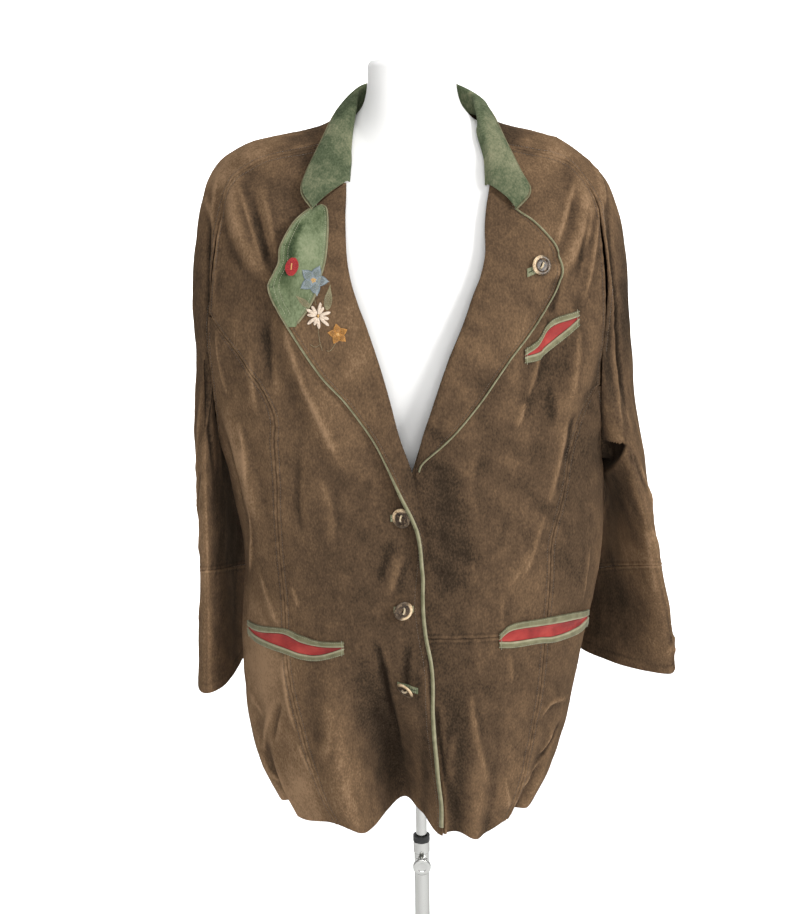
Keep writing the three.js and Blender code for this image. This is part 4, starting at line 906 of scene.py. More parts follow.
def panel(name, node, first_line, last_line, low, high, seams, lift=None):
    """A panel between two lines that give an angle for a level. The seams are those of the
    low, high, first and last edge, with 0 where the edge is free."""
    side = node.split("_")[0]
    cell = BACK_CELL if node.endswith("back") else CELL
    levels = spread_between(low + SEAM_GAP, high - SEAM_GAP, cell)
    first = first_line(side, levels) + SEAM_TURN
    last = np.maximum(last_line(side, levels) - SEAM_TURN, first + 0.12)
    widest = np.max(np.abs(last - first)) * math.radians(1) * WIDEST_RADIUS
    share = spread_between(0, widest, cell) / widest
    angle = first[:, None] + (last - first)[:, None] * share
    level = np.broadcast_to(levels[:, None], angle.shape)
    facing = body_facing(angle, level)
    plain = folded_body(angle, level)
    lifted = lift(angle, level) if lift else np.zeros(angle.shape)
    fine = crease_height(plain, facing, crease_lines) + wave_height(plain)
    points = plain + facing * (lifted + fine)[..., None]
    edges = edge_distances(points)
    runs = [edges[2], edges[2], edges[0], edges[0]]
    relief = sum(
        seam_relief(edge, k, run) for k, (edge, run, sewn) in enumerate(zip(edges, runs, seams))
        if sewn
    )
    points = points + facing * np.asarray(relief + np.zeros(angle.shape))[..., None]
    # Crests are painted paler and folds darker, and the seam dips darker still: rubbed nap with
    # painted highlight, and painted shade.
    wear_and_shade = wear_and_shade_share(points, facing, crease_lines) - 0.1 * np.clip(-relief, 0, 1)
    cloth(
        name, points, facing, SUEDE, brown_suede, node,
        wear_and_shade=wear_and_shade,
    )
    return points, facing


panel_grids = {node: panel(name, node, *cut) for name, node, *cut in [
    ("right_front_panel", "right_front", outer_edge, edge_at, HEM, NECK, (0, 1, 1, 0)),
    ("right_side_panel", "right_side_front", side_edge, seam_at, HEM, SIDE_TOP["right"],
     (0, 0, 1, 1)),
    ("left_skirt_panel", "left_lower_front", edge_at, seam_at, HEM, HIP_SEAM, (0, 1, 0, 1),
     under_lift),
    ("left_chest_panel", "left_upper_front", edge_at, outer_edge, HIP_SEAM, 1425, (1, 1, 0, 1),
     under_lift),
    ("left_side_panel", "left_side_front", seam_at, side_edge, HEM, SIDE_TOP["left"],
     (0, 0, 1, 1)),
    ("left_back_panel", "left_back", back_edge, back_middle, HEM, NECK, (0, 1, 1, 1)),
    ("right_back_panel", "right_back", back_middle, back_edge, HEM, NECK, (0, 1, 1, 1)),
]}

# ---------- sleeves and cuffs ----------
# Each sleeve is cut in one with the strip over the shoulder and hangs empty and flat beside the
# body. A deep cuff of the same suede is sewn on below a seam that rises towards the front.
SLEEVE_TOP = 1175
# Painted shade on the sleeves: how much darker the right sleeve is below its shoulder and the faces
# turned to the body, and the tone of the inner side under the arm.
PAINTED_SLEEVE_SHADE = 0.16
TROUGH_SHADE = 0.3
PIT_DEPTH = 15
UNDER_STRIP_SHADE = 0.4
BLEND_ROWS = 30
# z, x, y, half thickness, half breadth, the turn of the front edge outwards, and how far the
# back edge swings in behind the body
sleeve_sections = {
    "right": [
        [735, -252, 18, 22, 75, 8, 12], [800, -251, 19, 21, 78, 6, 17],
        [885, -249, 20, 17, 84, 4, 25], [960, -249, 21, 16, 91, 2, 30],
        [1045, -250, 20, 14, 95, 0, 12], [1180, -245, 14, 19, 86, 0, 0],
    ],
    "left": [
        [745, 263, 34, 22, 76, 46, 0], [790, 262, 33, 22, 79, 38, 0], [840, 264, 30, 21, 82, 27, 0],
        [885, 263, 28, 20, 85, 18, 0], [960, 260, 24, 20, 92, 8, 0], [1045, 248, 20, 25, 95, 2, 0],
        [1180, 236, 14, 28, 86, 0, 0],
    ],
}
CUFF_SEAM = {"right": 884, "left": 874}
CUFF_HEM = {"right": 747, "left": 748}
CUFF_TILT = {"right": 0.3, "left": 0.38}
CUFF_DROP = {"right": 0, "left": 9}
# How far the upper sleeve hangs out off the armhole seam, at its fullest level.
FULLNESS = {"right": 0, "left": 10}
FULLEST = 1148


def section_point(side, z, round_at):
    """A point of a sleeve's section. Round 0 is its front, 0.5 its outside and 1 its back."""
    section = read(sleeve_sections[side], z)
    angle = (round_at - 0.5) * math.pi
    out, back = section[..., 2] * np.cos(angle), section[..., 3] * np.sin(angle)
    turn = np.radians(section[..., 4])
    swing = section[..., 5] * np.maximum(np.sin(angle), 0) ** 2
    x = section[..., 0] + SIDES[side] * (out * np.cos(turn) - back * np.sin(turn) - swing)
    y = section[..., 1] + out * np.sin(turn) + back * np.cos(turn)
    return np.stack(np.broadcast_arrays(x, y, z), -1)


def cuff_seam(side, round_at):
    level = np.full(np.shape(round_at), float(CUFF_SEAM[side]))
    back = section_point(side, level, round_at)[..., 1] - read(sleeve_sections[side], level)[..., 1]
    return level - CUFF_TILT[side] * back


def cuff_hem(side, round_at):
    """The level of the hem, rounded up at the corner that stands out in front."""
    corner = np.mod(round_at - 0.087 + 1, 2) - 1
    rounded = CUFF_DROP[side] * np.exp(-((corner / 0.1) ** 2))
    return CUFF_HEM[side] - CUFF_DROP[side] * np.maximum(np.sin(round_at * math.pi), 0) + rounded


def tube_start(side, round_at):
    """Where the closed tube starts: over the outside at one level, and down the armhole."""
    wrapped = np.mod(round_at, 2)
    gap = SEAM_TURN * SIDES[side]
    top = np.full(wrapped.shape, float(SLEEVE_TOP))
    front, back = armhole_at(side, top) + gap, back_at(side, top) - gap
    outside = on_body(front + (back - front) * np.minimum(wrapped, 1), top)
    down = np.abs(wrapped - 1.5) * 2
    level = UNDERARM + (SLEEVE_TOP - UNDERARM) * down**1.3
    angle = np.where(wrapped < 1.5, back_at(side, level), armhole_at(side, level))
    inside = on_body(angle, level, 0.9)
    return np.where((wrapped <= 1)[..., None], outside, inside)


def sleeve_point(side, round_at, down):
    start = tube_start(side, round_at)
    z = start[..., 2] + (cuff_seam(side, round_at) - start[..., 2]) * down
    own = section_point(side, z, round_at)
    share = smooth_step(0, 0.5, down)[..., None]
    found = start + (own - start) * share
    found[..., 2] = z
    return found


def sleeve_facing(side, round_at, down):
    tip = np.maximum(down, 0.02)
    return -SIDES[side] * outward(lambda a, b: sleeve_point(side, a, b), round_at, tip, 0.02, 0.015)


# Creases of the sleeves, by the place round and the share down the tube, or down the cuff.
sleeve_creases = {
    "right": [
        [0.3, 0.02, 0.32, 0.26, 0.34, 0.5, 8, 3.0, 1],
        [0.12, 0.1, 0.16, 0.36, 0.2, 0.62, 8, 2.6, 1],
        [0.22, 0.55, 0.32, 0.68, 0.42, 0.8, 7, 2.4, 1],
        [0.05, 0.5, 0.17, 0.61, 0.3, 0.72, 7, -2.4, 0],
        [0.5, 0.3, 0.47, 0.48, 0.44, 0.66, 9, 2.6, 1],
        [0.7, 0.35, 0.66, 0.55, 0.62, 0.75, 9, 2.8, 1],
        [0.9, 0.3, 0.82, 0.46, 0.75, 0.62, 8, -2.6, 0],
        [0.1, 0.8, 0.22, 0.87, 0.34, 0.94, 6, 2.0, 1],
    ],
    "left": [
        [0.1, 0.02, 0.13, 0.22, 0.16, 0.42, 9, 1.4, 1],
        [0.3, 0.04, 0.28, 0.3, 0.26, 0.55, 10, 1.6, 1],
        [0.02, 0.42, 0.11, 0.54, 0.2, 0.66, 8, -3.2, 0],
        [0.08, 0.46, 0.18, 0.6, 0.28, 0.74, 7, 3.0, 1],
        [0.16, 0.6, 0.28, 0.73, 0.4, 0.86, 8, 2.4, 1],
        [0.5, 0.25, 0.48, 0.47, 0.46, 0.68, 9, 2.6, 1],
        [0.72, 0.3, 0.68, 0.54, 0.64, 0.78, 9, 2.8, 1],
        [0.92, 0.3, 0.85, 0.45, 0.78, 0.6, 8, -2.6, 0],
        [0.04, 0.8, 0.13, 0.88, 0.22, 0.96, 6, 2.2, 1],
    ],
}
cuff_creases = {
    "right": [
        [0.1, 0.2, 0.23, 0.36, 0.36, 0.52, 6, 1.8, 1],
        [0.34, 0.62, 0.45, 0.56, 0.56, 0.5, 6, 1.6, 1], [0.6, 0.25, 0.7, 0.47, 0.8, 0.7, 7, 1.8, 1],
    ],
    "left": [
        [-0.06, 0.72, 0.03, 0.79, 0.12, 0.86, 6, 2.6, 1],
        [0.04, 0.66, 0.14, 0.73, 0.24, 0.8, 6, 2.8, 1],
        [0.12, 0.8, 0.21, 0.85, 0.3, 0.9, 5, 1.8, 1], [0.2, 0.2, 0.27, 0.4, 0.34, 0.6, 8, 1.8, 1],
        [0.6, 0.25, 0.7, 0.47, 0.8, 0.7, 7, 1.8, 1],
    ],
}

# Folds of the sleeves and cuffs seen from in front, by x and z like those of the body.
front_folds = {
    "right": [
        [-231, 1342, -235, 1270, -239, 1180, 6, -5.0, 0],
        [-239, 1230, -241, 1120, -241, 1010, 7, -5.0, 0],
        [-221, 1355, -227, 1269, -234, 1160, 5, 3.0, 1],
    ],
    "left": [
        [213, 1385, 221, 1227, 245, 1040, 9, 6.5, 1], [222, 1375, 230, 1215, 253, 1050, 9, -3.4, 0],
        [224, 1010, 220, 933, 220, 850, 8, -3.0, 0],
    ],
}
# The pit under the left armhole: x and z of its three corners, the first two its sharp upper edge.
arm_pit = [(216, 1060), (246, 1060), (222, 996)]


def seen_at(points, facing, x, z):
    """The places of a grid of cloth that show at x and z from in front."""
    front = points[facing[..., 1] < -0.05]
    far = (front[:, 0] - x[:, None]) ** 2 + (front[:, 2] - z[:, None]) ** 2
    near = np.argsort(far, 1)[:, :6]
    return np.stack([x, front[near, 1].mean(1), z], -1)


def pit_depth(points, facing):
    """How deep each point lies in the pit, whose sides slope less than its upper edge."""
    inside = np.full(points.shape[:2], 9.0)
    for k, steep in enumerate((2.6, 0.8, 1.1)):
        (x0, z0), (x1, z1) = arm_pit[k], arm_pit[(k + 1) % 3]
        long = math.hypot(x1 - x0, z1 - z0)
        off = ((points[..., 0] - x0) * (z1 - z0) - (points[..., 2] - z0) * (x1 - x0)) / long
        inside = np.minimum(inside, off * steep)
    return smooth_step(0, 6, inside) * (facing[..., 1] < 0)


def trough_shade_share(side, facing, points):
    """1 on the face of a sleeve turned to the body, which is painted darker: painted shade
    between sleeve and body, with nap that is never rubbed.
    """
    inwards = -SIDES[side] * facing[..., 0]
    return smooth_step(0.5, 0.95, inwards) * smooth_step(1180, 1100, points[..., 2])


def cuff_point(side, round_at, down):
    high, low = cuff_seam(side, round_at), cuff_hem(side, round_at)
    return section_point(side, high + (low - high) * down, round_at)


shoulder_grids = {}
cuff_grids = {}
for side in ("right", "left"):
    creases = crease_lines + lines_on(
        lambda a, b: sleeve_point(side, a, b), sleeve_creases[side]
    )
    gap = SEAM_TURN * SIDES[side]
    outer_share = spread_between(0, WIDEST_RADIUS, 3.2) / WIDEST_RADIUS
    inner_share = spread_between(0, WIDEST_RADIUS, 4.2)[1:-1] / WIDEST_RADIUS
    levels = spread_between(SLEEVE_TOP, NECK - SEAM_GAP, 3.6)[::-1]
    levels = levels[levels > SLEEVE_TOP + 1]
    strip, outer = len(levels), len(outer_share)
    front, back = armhole_at(side, levels) + gap, back_at(side, levels) - gap
    angle = front[:, None] + (back - front)[:, None] * outer_share
    angle = np.concatenate([angle, np.repeat(angle[:, -1:], len(inner_share), 1)], 1)
    level = np.broadcast_to(levels[:, None], angle.shape)
    round_at = np.concatenate([outer_share, 1 + inner_share])
    down = np.concatenate([[0.0], spread_between(0, 300, 3.4)[1:] / 300])
    grid_round, grid_down = np.meshgrid(round_at, down)
    plain = np.concatenate([folded_body(angle, level), sleeve_point(side, grid_round, grid_down)])
    facing = np.concatenate([body_facing(angle, level), sleeve_facing(side, grid_round, grid_down)])
    outside = np.sin(math.pi * np.clip(round_at, 0, 1))
    full = FULLNESS[side] * outside * np.exp(-(((plain[..., 2] - FULLEST) / 58) ** 2))
    plain[..., 0] += SIDES[side] * full
    calm = np.ones(plain.shape[:2])
    calm[strip:, outer:] = smooth_step(0, 0.25, grid_down)[:, outer:]
    creases = creases + lines_on(lambda x, z: seen_at(plain, facing, x, z), front_folds[side])
    fine = crease_height(plain, facing, creases) + wave_height(plain) * calm
    pit = pit_depth(plain, facing) if side == "left" else np.zeros(plain.shape[:2])
    points = plain + facing * (fine - PIT_DEPTH * pit)[..., None]
    first = arc_from_start(points[:, :outer], 1)
    run = arc_from_start(points[:, :outer], 0)
    sewn = np.concatenate([np.ones(strip), 1 - smooth_step(0, 0.03, down)])[:, None]
    relief = np.zeros(points.shape[:2])
    relief[:, :outer] += sewn * seam_relief(first, 1, run)
    relief[:, :outer] += sewn * seam_relief(first[:, -1:] - first, 2, run)
    low = arc_from_start(points[::-1], 0)[::-1]
    relief[strip:] += seam_relief(low, 3, arc_from_start(points, 1))[strip:]
    points = points + facing * relief[..., None]
    there = np.ones(points.shape[:2], bool)
    there[:strip, outer - 1:] = False
    # Crests are painted paler and folds darker, and the pit darker still: rubbed nap with painted
    # highlight, and painted shade in the pit.
    wear_and_shade = wear_and_shade_share(points, facing, creases) - 0.2 * pit
    # The wearer's right sleeve is painted darker below its shoulder: painted shadow of the body and
    # shoulder.
    if side == "right":
        wear_and_shade = wear_and_shade - PAINTED_SLEEVE_SHADE * smooth_step(1365, 1290, points[..., 2])
    # The face turned to the body is painted darker: painted shade between sleeve and body.
    wear_and_shade = wear_and_shade - TROUGH_SHADE * trough_shade_share(side, facing, points)
    # The inner side under the arm, between sleeve and body, gets one tone a little darker than flat
    # cloth, blended in below: painted shade.
    wear_and_shade[:strip, outer:] = UNDER_STRIP_SHADE
    blend = np.linspace(0, 1, BLEND_ROWS)[:, None]
    under = wear_and_shade[strip:strip + BLEND_ROWS, outer:]
    wear_and_shade[strip:strip + BLEND_ROWS, outer:] = UNDER_STRIP_SHADE + (under - UNDER_STRIP_SHADE) * blend
    sleeve = cloth(
        f"{side}_sleeve_cloth", points, facing, SUEDE, brown_suede,
        f"{side}_sleeve", closed=True, there=there, wear_and_shade=wear_and_shade,
    )
    shoulder_grids[side] = (points[:strip, :outer], facing[:strip, :outer])

    round_at = np.linspace(0, 2, 97)[:-1]
    share = np.concatenate([[-0.036, -0.018, -0.004], spread_between(0, 135, 3.4) / 135])
    top, hem = cuff_seam(side, round_at) - 2 * SEAM_GAP, cuff_hem(side, round_at)
    z = top + (hem - top) * share[:, None]
    grid_round = np.broadcast_to(round_at, z.shape)
    plain = section_point(side, z, grid_round)
    facing = SIDES[side] * outward(
        lambda a, b: section_point(side, b, a), grid_round, z, 0.02, 4
    )
    folds_here = lines_on(lambda a, b: cuff_point(side, a, b), cuff_creases[side])
    fine = crease_height(plain, facing, folds_here) + wave_height(plain) * 0.8
    points = plain + facing * fine[..., None]
    down_run = arc_from_start(points, 0)
    relief = seam_relief(np.maximum(down_run - 4.9, 0), 3, arc_from_start(points, 1))
    relief = relief - 2.2 * smooth_step(0.004, -0.006, share)[:, None]
    relief = relief - 0.5 * np.exp(-(((down_run[-1:] - down_run - 13) / 1.4) ** 2))
    points = points + facing * relief[..., None]
    # Crests are painted paler and folds darker, and the face turned to the body darker still: rubbed
    # nap with painted highlight, and painted shade.
    wear_and_shade = wear_and_shade_share(points, facing, folds_here)
    wear_and_shade = wear_and_shade - TROUGH_SHADE * trough_shade_share(side, facing, points)
    cloth(
        f"{side}_cuff_cloth", points, facing, SUEDE, brown_suede, f"{side}_cuff",
        closed=True, wear_and_shade=wear_and_shade,
    )
    cuff_grids[side] = (points, facing)

# ---------- lapels ----------
# The fronts turn back below the collar as facings of the same suede. The edge of the wearer's
# right lapel has curled forward, and that of the left one lies flat.
# rollX, rollZ, edgeX, edgeZ, stand of the edge off the front, by row from the low end
lapel_rows = {
    "right": [
        [0, 8, 945, 3, 943, 3], [1, 6, 985, -2, 986, 7], [2, -1, 1029, -21, 1030, 9],
        [3, -9, 1060, -37, 1065, 3], [4, -20, 1092, -52, 1093, 0], [5, -31, 1137, -80, 1132, 0],
        [6, -43, 1176, -106, 1162, 0], [7, -56, 1218, -139, 1212, 1], [8, -66, 1248, -155, 1240, 5],
        [9, -73, 1272, -160, 1262, 9], [10, -76, 1294, -149, 1282, 11],
        [11, -77, 1315, -147, 1300, 10], [12, -77, 1336, -136, 1322, 7],
        [13, -76, 1354, -125, 1334, 4], [14, -76, 1369, -113, 1343, 1],
    ],
    "left": [
        [0, -3, 1052, -2, 1045, 0], [1, 5, 1090, 37, 1091, 0], [2, 21, 1136, 73, 1133, 0],
        [3, 37, 1180, 106, 1180, 0], [4, 53, 1219, 141, 1224, 0], [5, 64, 1248, 159, 1252, 0],
        [6, 72, 1268, 163, 1275, 0], [7, 78, 1290, 158, 1295, 0], [8, 79, 1310, 147, 1310, 0],
        [9, 80, 1328, 132, 1325, 0], [10, 83, 1345, 121, 1332, 0], [11, 85, 1357, 113, 1338, 0],
    ],
}


def cloth_face(side, x, z, lift):
    """A place on the jacket's face, with its fine folds, from where it shows in front."""
    angle, level = from_front(x, z)
    facing = body_facing(angle, level)
    plain = folded_body(angle, level)
    fine = crease_height(plain, facing, crease_lines) + wave_height(plain)
    if side == "left":
        fine = fine + under_lift(angle, level)
    return plain + facing * (fine + lift)[..., None], facing


def lapel_place(side, row, share, lift=0.0):
    at = read(lapel_rows[side], row)
    x = at[..., 0] + (at[..., 2] - at[..., 0]) * share
    z = at[..., 1] + (at[..., 3] - at[..., 1]) * share
    return cloth_face(side, x, z, ON_LAPEL + at[..., 4] * np.maximum(share, 0) ** 2 + lift)


ON_LAPEL = 2 * CLEAR + SUEDE
LAPEL_WIDTH = 80
lapel_grids = {}
for side, length, under in [
    ("right", 430, "right_front_panel"), ("left", 330, "left_chest_panel"),
]:
    row = spread_between(0, length, 3.4)
    row = row / row[-1] * (len(lapel_rows[side]) - 1)
    share = spread_between(0, LAPEL_WIDTH, 2.6) / LAPEL_WIDTH
    points, facing = lapel_place(side, *np.broadcast_arrays(row[:, None], share))
    edges = edge_distances(points)
    soft_roll = -0.9 * np.exp(-((edges[2] / 3.0) ** 2)) - 0.5 * np.exp(-((edges[3] / 1.6) ** 2))
    groove = -0.35 * np.exp(-(((edges[3] - 5.5) / 1.2) ** 2))
    points = points + facing * (soft_roll + groove)[..., None]
    # The lapel's crests are painted paler and its folds darker: rubbed nap with painted highlight,
    # and painted shade.
    cloth(
        f"{side}_lapel_facing", points, facing, SUEDE, brown_suede,
        f"{side}_lapel", wear_and_shade=wear_and_shade_share(points, facing, crease_lines),
    )
    lapel_grids[side] = (points, facing)

# ---------- collar ----------
# A green suede collar: it stands up from the neck seam, rolls over, and its fall lies on the
# shoulders. Its two ends meet the lapels at the gorge.
# baseX, baseY, baseZ, rollX, rollY, rollZ, edgeX, edgeY, edgeZ, by station round the neck
collar_rows = [
    [0, -73, -58, 1369, -77, -65, 1370, -113, -87, 1344],
    [1, -72, -51, 1380, -77, -58, 1384, -125, -75, 1362],
    [2, -71, -41, 1394, -75, -48, 1399, -120, -58, 1381],
    [3, -73, -24, 1417, -70, -27, 1423, -103, -33, 1413],
    [4, -79, -6, 1430, -65, -4, 1446, -88, -5, 1440],
    [5, -77, 28, 1433, -61, 28, 1464, -77, 36, 1449],
    [6, -46, 55, 1436, -38, 55, 1470, -50, 72, 1444], [7, 0, 61, 1437, 0, 66, 1473, 0, 86, 1434],
    [8, 46, 55, 1436, 40, 56, 1469, 52, 74, 1442], [9, 76, 28, 1433, 69, 34, 1457, 83, 40, 1444],
    [10, 79, 2, 1430, 74, 3, 1445, 92, 6, 1437], [11, 74, -24, 1418, 80, -26, 1424, 104, -28, 1412],
    [12, 81, -41, 1393, 87, -48, 1397, 120, -55, 1380],
    [13, 82, -52, 1378, 88, -61, 1381, 130, -76, 1359],
    [14, 82, -60, 1363, 87, -68, 1364, 114, -89, 1341],
]
COLLAR_CROWN = 4
STATIONS = (0.02, 13.98)


def collar_point(station, across):
    """Across 0 is the neck seam, 1 the roll, 2 the middle of the fall and 3 its free edge."""
    at = read(collar_rows, station)
    base, roll, edge = at[..., 0:3], at[..., 3:6], at[..., 6:9]
    away = unit(np.stack([edge[..., 0], edge[..., 1] - 8, np.full(edge.shape[:-1], 20.0)], -1))
    middle = (roll + edge) / 2 + away * COLLAR_CROWN
    stops = np.stack([base, roll, middle, edge], -2)
    slopes = np.stack([roll - base, (middle - base) / 2, (edge - roll) / 2, edge - middle], -2)
    across = np.clip(across, 0, 3)
    k = np.clip(np.floor(across).astype(int), 0, 2)
    pick = np.broadcast_to(k[..., None, None], (*k.shape, 1, 3))
    a, m = (np.take_along_axis(v, pick, -2)[..., 0, :] for v in (stops, slopes))
    b, n = (np.take_along_axis(v, pick + 1, -2)[..., 0, :] for v in (stops, slopes))
    return bow(a, b, m, n, (across - k)[..., None])


def collar_facing(station, across):
    station, across = np.clip(station, 0.1, 13.9), np.clip(across, 0.1, 2.9)
    return -outward(collar_point, station, across, 0.08, 0.08)


green_suede = suede(
    "green_suede",
    [(0.030, 0.040, 0.022), (0.080, 0.100, 0.056), (0.185, 0.192, 0.115), (0.300, 0.275, 0.175),
     (0.42, 0.37, 0.26)],
    (0.5, 0.55, 0.42), (0.8, 0.25, 0.3),
)
station = np.linspace(*STATIONS, 190)
across = np.concatenate([np.linspace(0, 2.94, 34), [2.97, 3.0]])
grid_station, grid_across = np.broadcast_arrays(station[:, None], across)
collar_plain = collar_point(grid_station, grid_across)
collar_out = collar_facing(grid_station, grid_across)
fall = smooth_step(1.2, 2.0, grid_across)
ripple = wave_height(collar_plain * 1.4) * 0.7 * fall
groove = -0.35 * np.exp(-(((1 - (grid_across - 2) - 0.18) / 0.035) ** 2)) * fall
collar_points = collar_plain + collar_out * (ripple + groove)[..., None]
# On the fall, crests are painted paler and folds darker: rubbed nap with painted highlight, and
# painted shade.
wear_and_shade = 0.5 + (wear_and_shade_share(collar_points, collar_out) - 0.5) * fall
cloth(
    "collar_cloth", collar_points, collar_out, SUEDE, green_suede, "collar",
    wear_and_shade=wear_and_shade,
)

# ---------- pale piping on the free edges ----------
# A strip of pale green leather, folded and sewn round the edges of the collar, the lapels and
# the wearer's right front, and a short one in the vent of the right cuff.
TRIM = 1.2
FINE_PIPING = 2.1
WIDE_PIPING = 4.4
PIPING_STEP = 2.4
STRIP = 0.9
ACROSS = np.linspace(-1, 1, 9)
ROUNDED = 0.75 * np.sqrt(np.clip(1 - ACROSS**2, 0, 1)) - 0.35
# Smooth sheepskin, from the green of its painted shaded side to the cream of its folds, which
# # are rubbed and carry a painted highlight.
pale_leather, tree, shader = new_material(
    "pale_green_leather", Roughness=0.72, Specular_IOR_Level=0.25, Sheen_Weight=0.1
)
place = object_place(tree)
clouds = noise(tree, place, 130.0, 6.0)
pores = add_node(tree, "ShaderNodeTexVoronoi", Vector=place, Scale=1500.0).outputs["Distance"]
uneven = maths(tree, "MULTIPLY_ADD", clouds, 0.7, carried(tree, "wear_shade"))
leather_tones = even(
    [(0.045, 0.046, 0.022), (0.115, 0.108, 0.056), (0.195, 0.185, 0.105), (0.285, 0.265, 0.165),
     (0.40, 0.345, 0.235)]
)
leather_tone = ramp(tree, maths(tree, "SUBTRACT", uneven, 0.35), leather_tones)
creased = bump(tree, clouds, 0.4, 0.0005)
joined(tree, shader, leather_tone, bump(tree, pores, 0.3, 0.00015, Normal=creased))


def edging(name, side, node, rows, widens=(90, 99)):
    """A rounded strip along a line given by x, z and the lift of what it is sewn to. It is fine
    and rubbed along its outer fold, and between two of its rows it widens. Its tone runs across it
    from a painted shaded side to a pale fold, rubbed and with a painted highlight."""
    table = np.array([[r, *row] for r, row in enumerate(rows)], float)
    rough = np.linspace(0, len(rows) - 1, 400)
    length = np.linalg.norm(np.diff(read(table, rough)[:, :2], axis=0), axis=1)
    run = np.concatenate([[0], np.cumsum(length)])
    at = np.interp(np.linspace(0, run[-1], int(run[-1] / PIPING_STEP)), run, rough)
    middle = read(table, at)
    way = read(table, at + 0.05) - read(table, at - 0.05)
    wide = smooth_step(*widens, at)[:, None]
    half = (FINE_PIPING + (WIDE_PIPING - FINE_PIPING) * wide) / 2
    way = way[:, :2] / np.linalg.norm(way[:, :2], axis=1, keepdims=True) * half
    x = middle[:, 0:1] - ACROSS * way[:, 1:2]
    z = middle[:, 1:2] + ACROSS * way[:, 0:1]
    lift = middle[:, 2:3] + CLEAR + TRIM + 0.5 + ROUNDED * (0.6 + 0.4 * wide)
    points, facing = cloth_face(side, x, z, lift)
    pinch = 0.12 * np.sin(np.arange(len(points)) * 0.9)[:, None] * (1 - ACROSS**2)
    points = points + facing * pinch[..., None]
    # Across each strip one side is painted darker and the other paler: painted shade, and a painted
    # highlight with rubbing on its fold.
    fine_tone = 0.36 + 0.30 * smooth_step(0.3, -0.7, ACROSS * -SIDES[side])
    wide_tone = 0.3 + 0.42 * smooth_step(-0.4, 0.5, ACROSS)
    cloth(
        name, points, facing, STRIP, pale_leather, node,
        wear_and_shade=fine_tone + (wide_tone - fine_tone) * wide,
    )


def outer_edge_of(side):
    return [(x, z, ON_LAPEL + stand) for _, _, _, x, z, stand in lapel_rows[side]]


closing_edge = [
    (4, 926, 3.6), (3.6, 905, 0.6), (4.4, 880, 0), (7, 855, 0), (12, 827, 0), (14, 800, 0),
    (14, 755, 0), (17, 695, 0), (23, 640, 0), (23, 603, 0),
]
roll_end = [(7, 1064, ON_LAPEL), (1, 1053, ON_LAPEL)]
edging(
    "right_edge_binding", "right", "right_edge_piping",
    outer_edge_of("right")[::-1] + closing_edge, (11, 12.6),
)
edging(
    "left_lapel_binding", "left", "left_lapel_piping", outer_edge_of("left")[:0:-1] + roll_end
)

station = np.linspace(*STATIONS, 230)
beside_rim = np.full(station.shape, 2.9)
rim = collar_point(station, np.full(station.shape, 3.0))
away = unit(rim - collar_point(station, beside_rim))
facing = collar_facing(station, beside_rim)
fold = np.linspace(0, 1, 9)
out = 0.4 + 2.0 * fold
crown = 0.7 * np.sqrt(np.clip(1 - (2 * fold - 1) ** 2, 0, 1)) - 0.3
points = rim[:, None] + away[:, None] * out[:, None] + facing[:, None] * crown[:, None]
# The binding is painted paler towards its outer fold and darker on its inner side: painted highlight
# with rubbing, and painted shade.
cloth(
    "collar_binding", points, np.broadcast_to(facing[:, None], points.shape), STRIP,
    pale_leather, "collar_piping",
    wear_and_shade=np.broadcast_to(0.45 + 0.35 * fold, points.shape[:2]),
)

z = np.linspace(788, 829, 18)[:, None]
grid_round, z = np.broadcast_arrays(np.linspace(0.44, 0.5, 9), z)
facing = -outward(lambda a, b: section_point("right", b, a), grid_round, z, 0.02, 4)
facing = facing * np.sign(np.sum(facing * (-1, 0, 0)))
points = section_point("right", z, grid_round)
points = points + facing * (CLEAR + TRIM + ROUNDED)[:, None]
cloth(
    "cuff_vent_binding", points, facing, STRIP, pale_leather,
    "cuff_vent_piping",
)

# ---------- the leaf on the right lapel ----------
# A leaf of green suede sewn on under the piping of the wearer's right lapel. Its inner edge is
# piped too, and the embroidery lies partly over it.
# inner and outer share of the lapel's width, by row of the lapel
leaf_rows = [
    [7.1, 0.9, 0.99], [7.6, 0.68, 0.99], [8.3, 0.48, 0.99], [9.2, 0.36, 0.99], [10, 0.32, 0.99],
    [11, 0.29, 0.99], [12, 0.34, 0.99], [12.8, 0.45, 0.98], [13.35, 0.66, 0.9],
]
ON_LEAF = CLEAR + TRIM + 0.3
LEAF_ENDS = (7.1, 13.35)
leaf_suede = suede(
    "leaf_suede",
    [(0.026, 0.040, 0.020), (0.080, 0.105, 0.052), (0.185, 0.220, 0.125), (0.280, 0.300, 0.185),
     (0.40, 0.40, 0.27)],
    (0.5, 0.55, 0.42), (0.6, 0.22, 0.26),
)


def leaf_grid(rows, columns):
    """Rows of the lapel and shares of its width that cover the leaf."""
    row = np.linspace(*LEAF_ENDS, rows)
    span = read(leaf_rows, row)
    share = span[:, 0:1] + (span[:, 1:2] - span[:, 0:1]) * np.linspace(0, 1, columns)
    return np.broadcast_arrays(row[:, None], share)


row, share = leaf_grid(90, 34)
points, facing = lapel_place("right", row, share, ON_LEAF)
gutter = np.exp(-(((share - 0.84) / 0.09) ** 2)) * smooth_step(8.4, 9.6, row)
points = points - facing * (0.9 * gutter)[..., None]
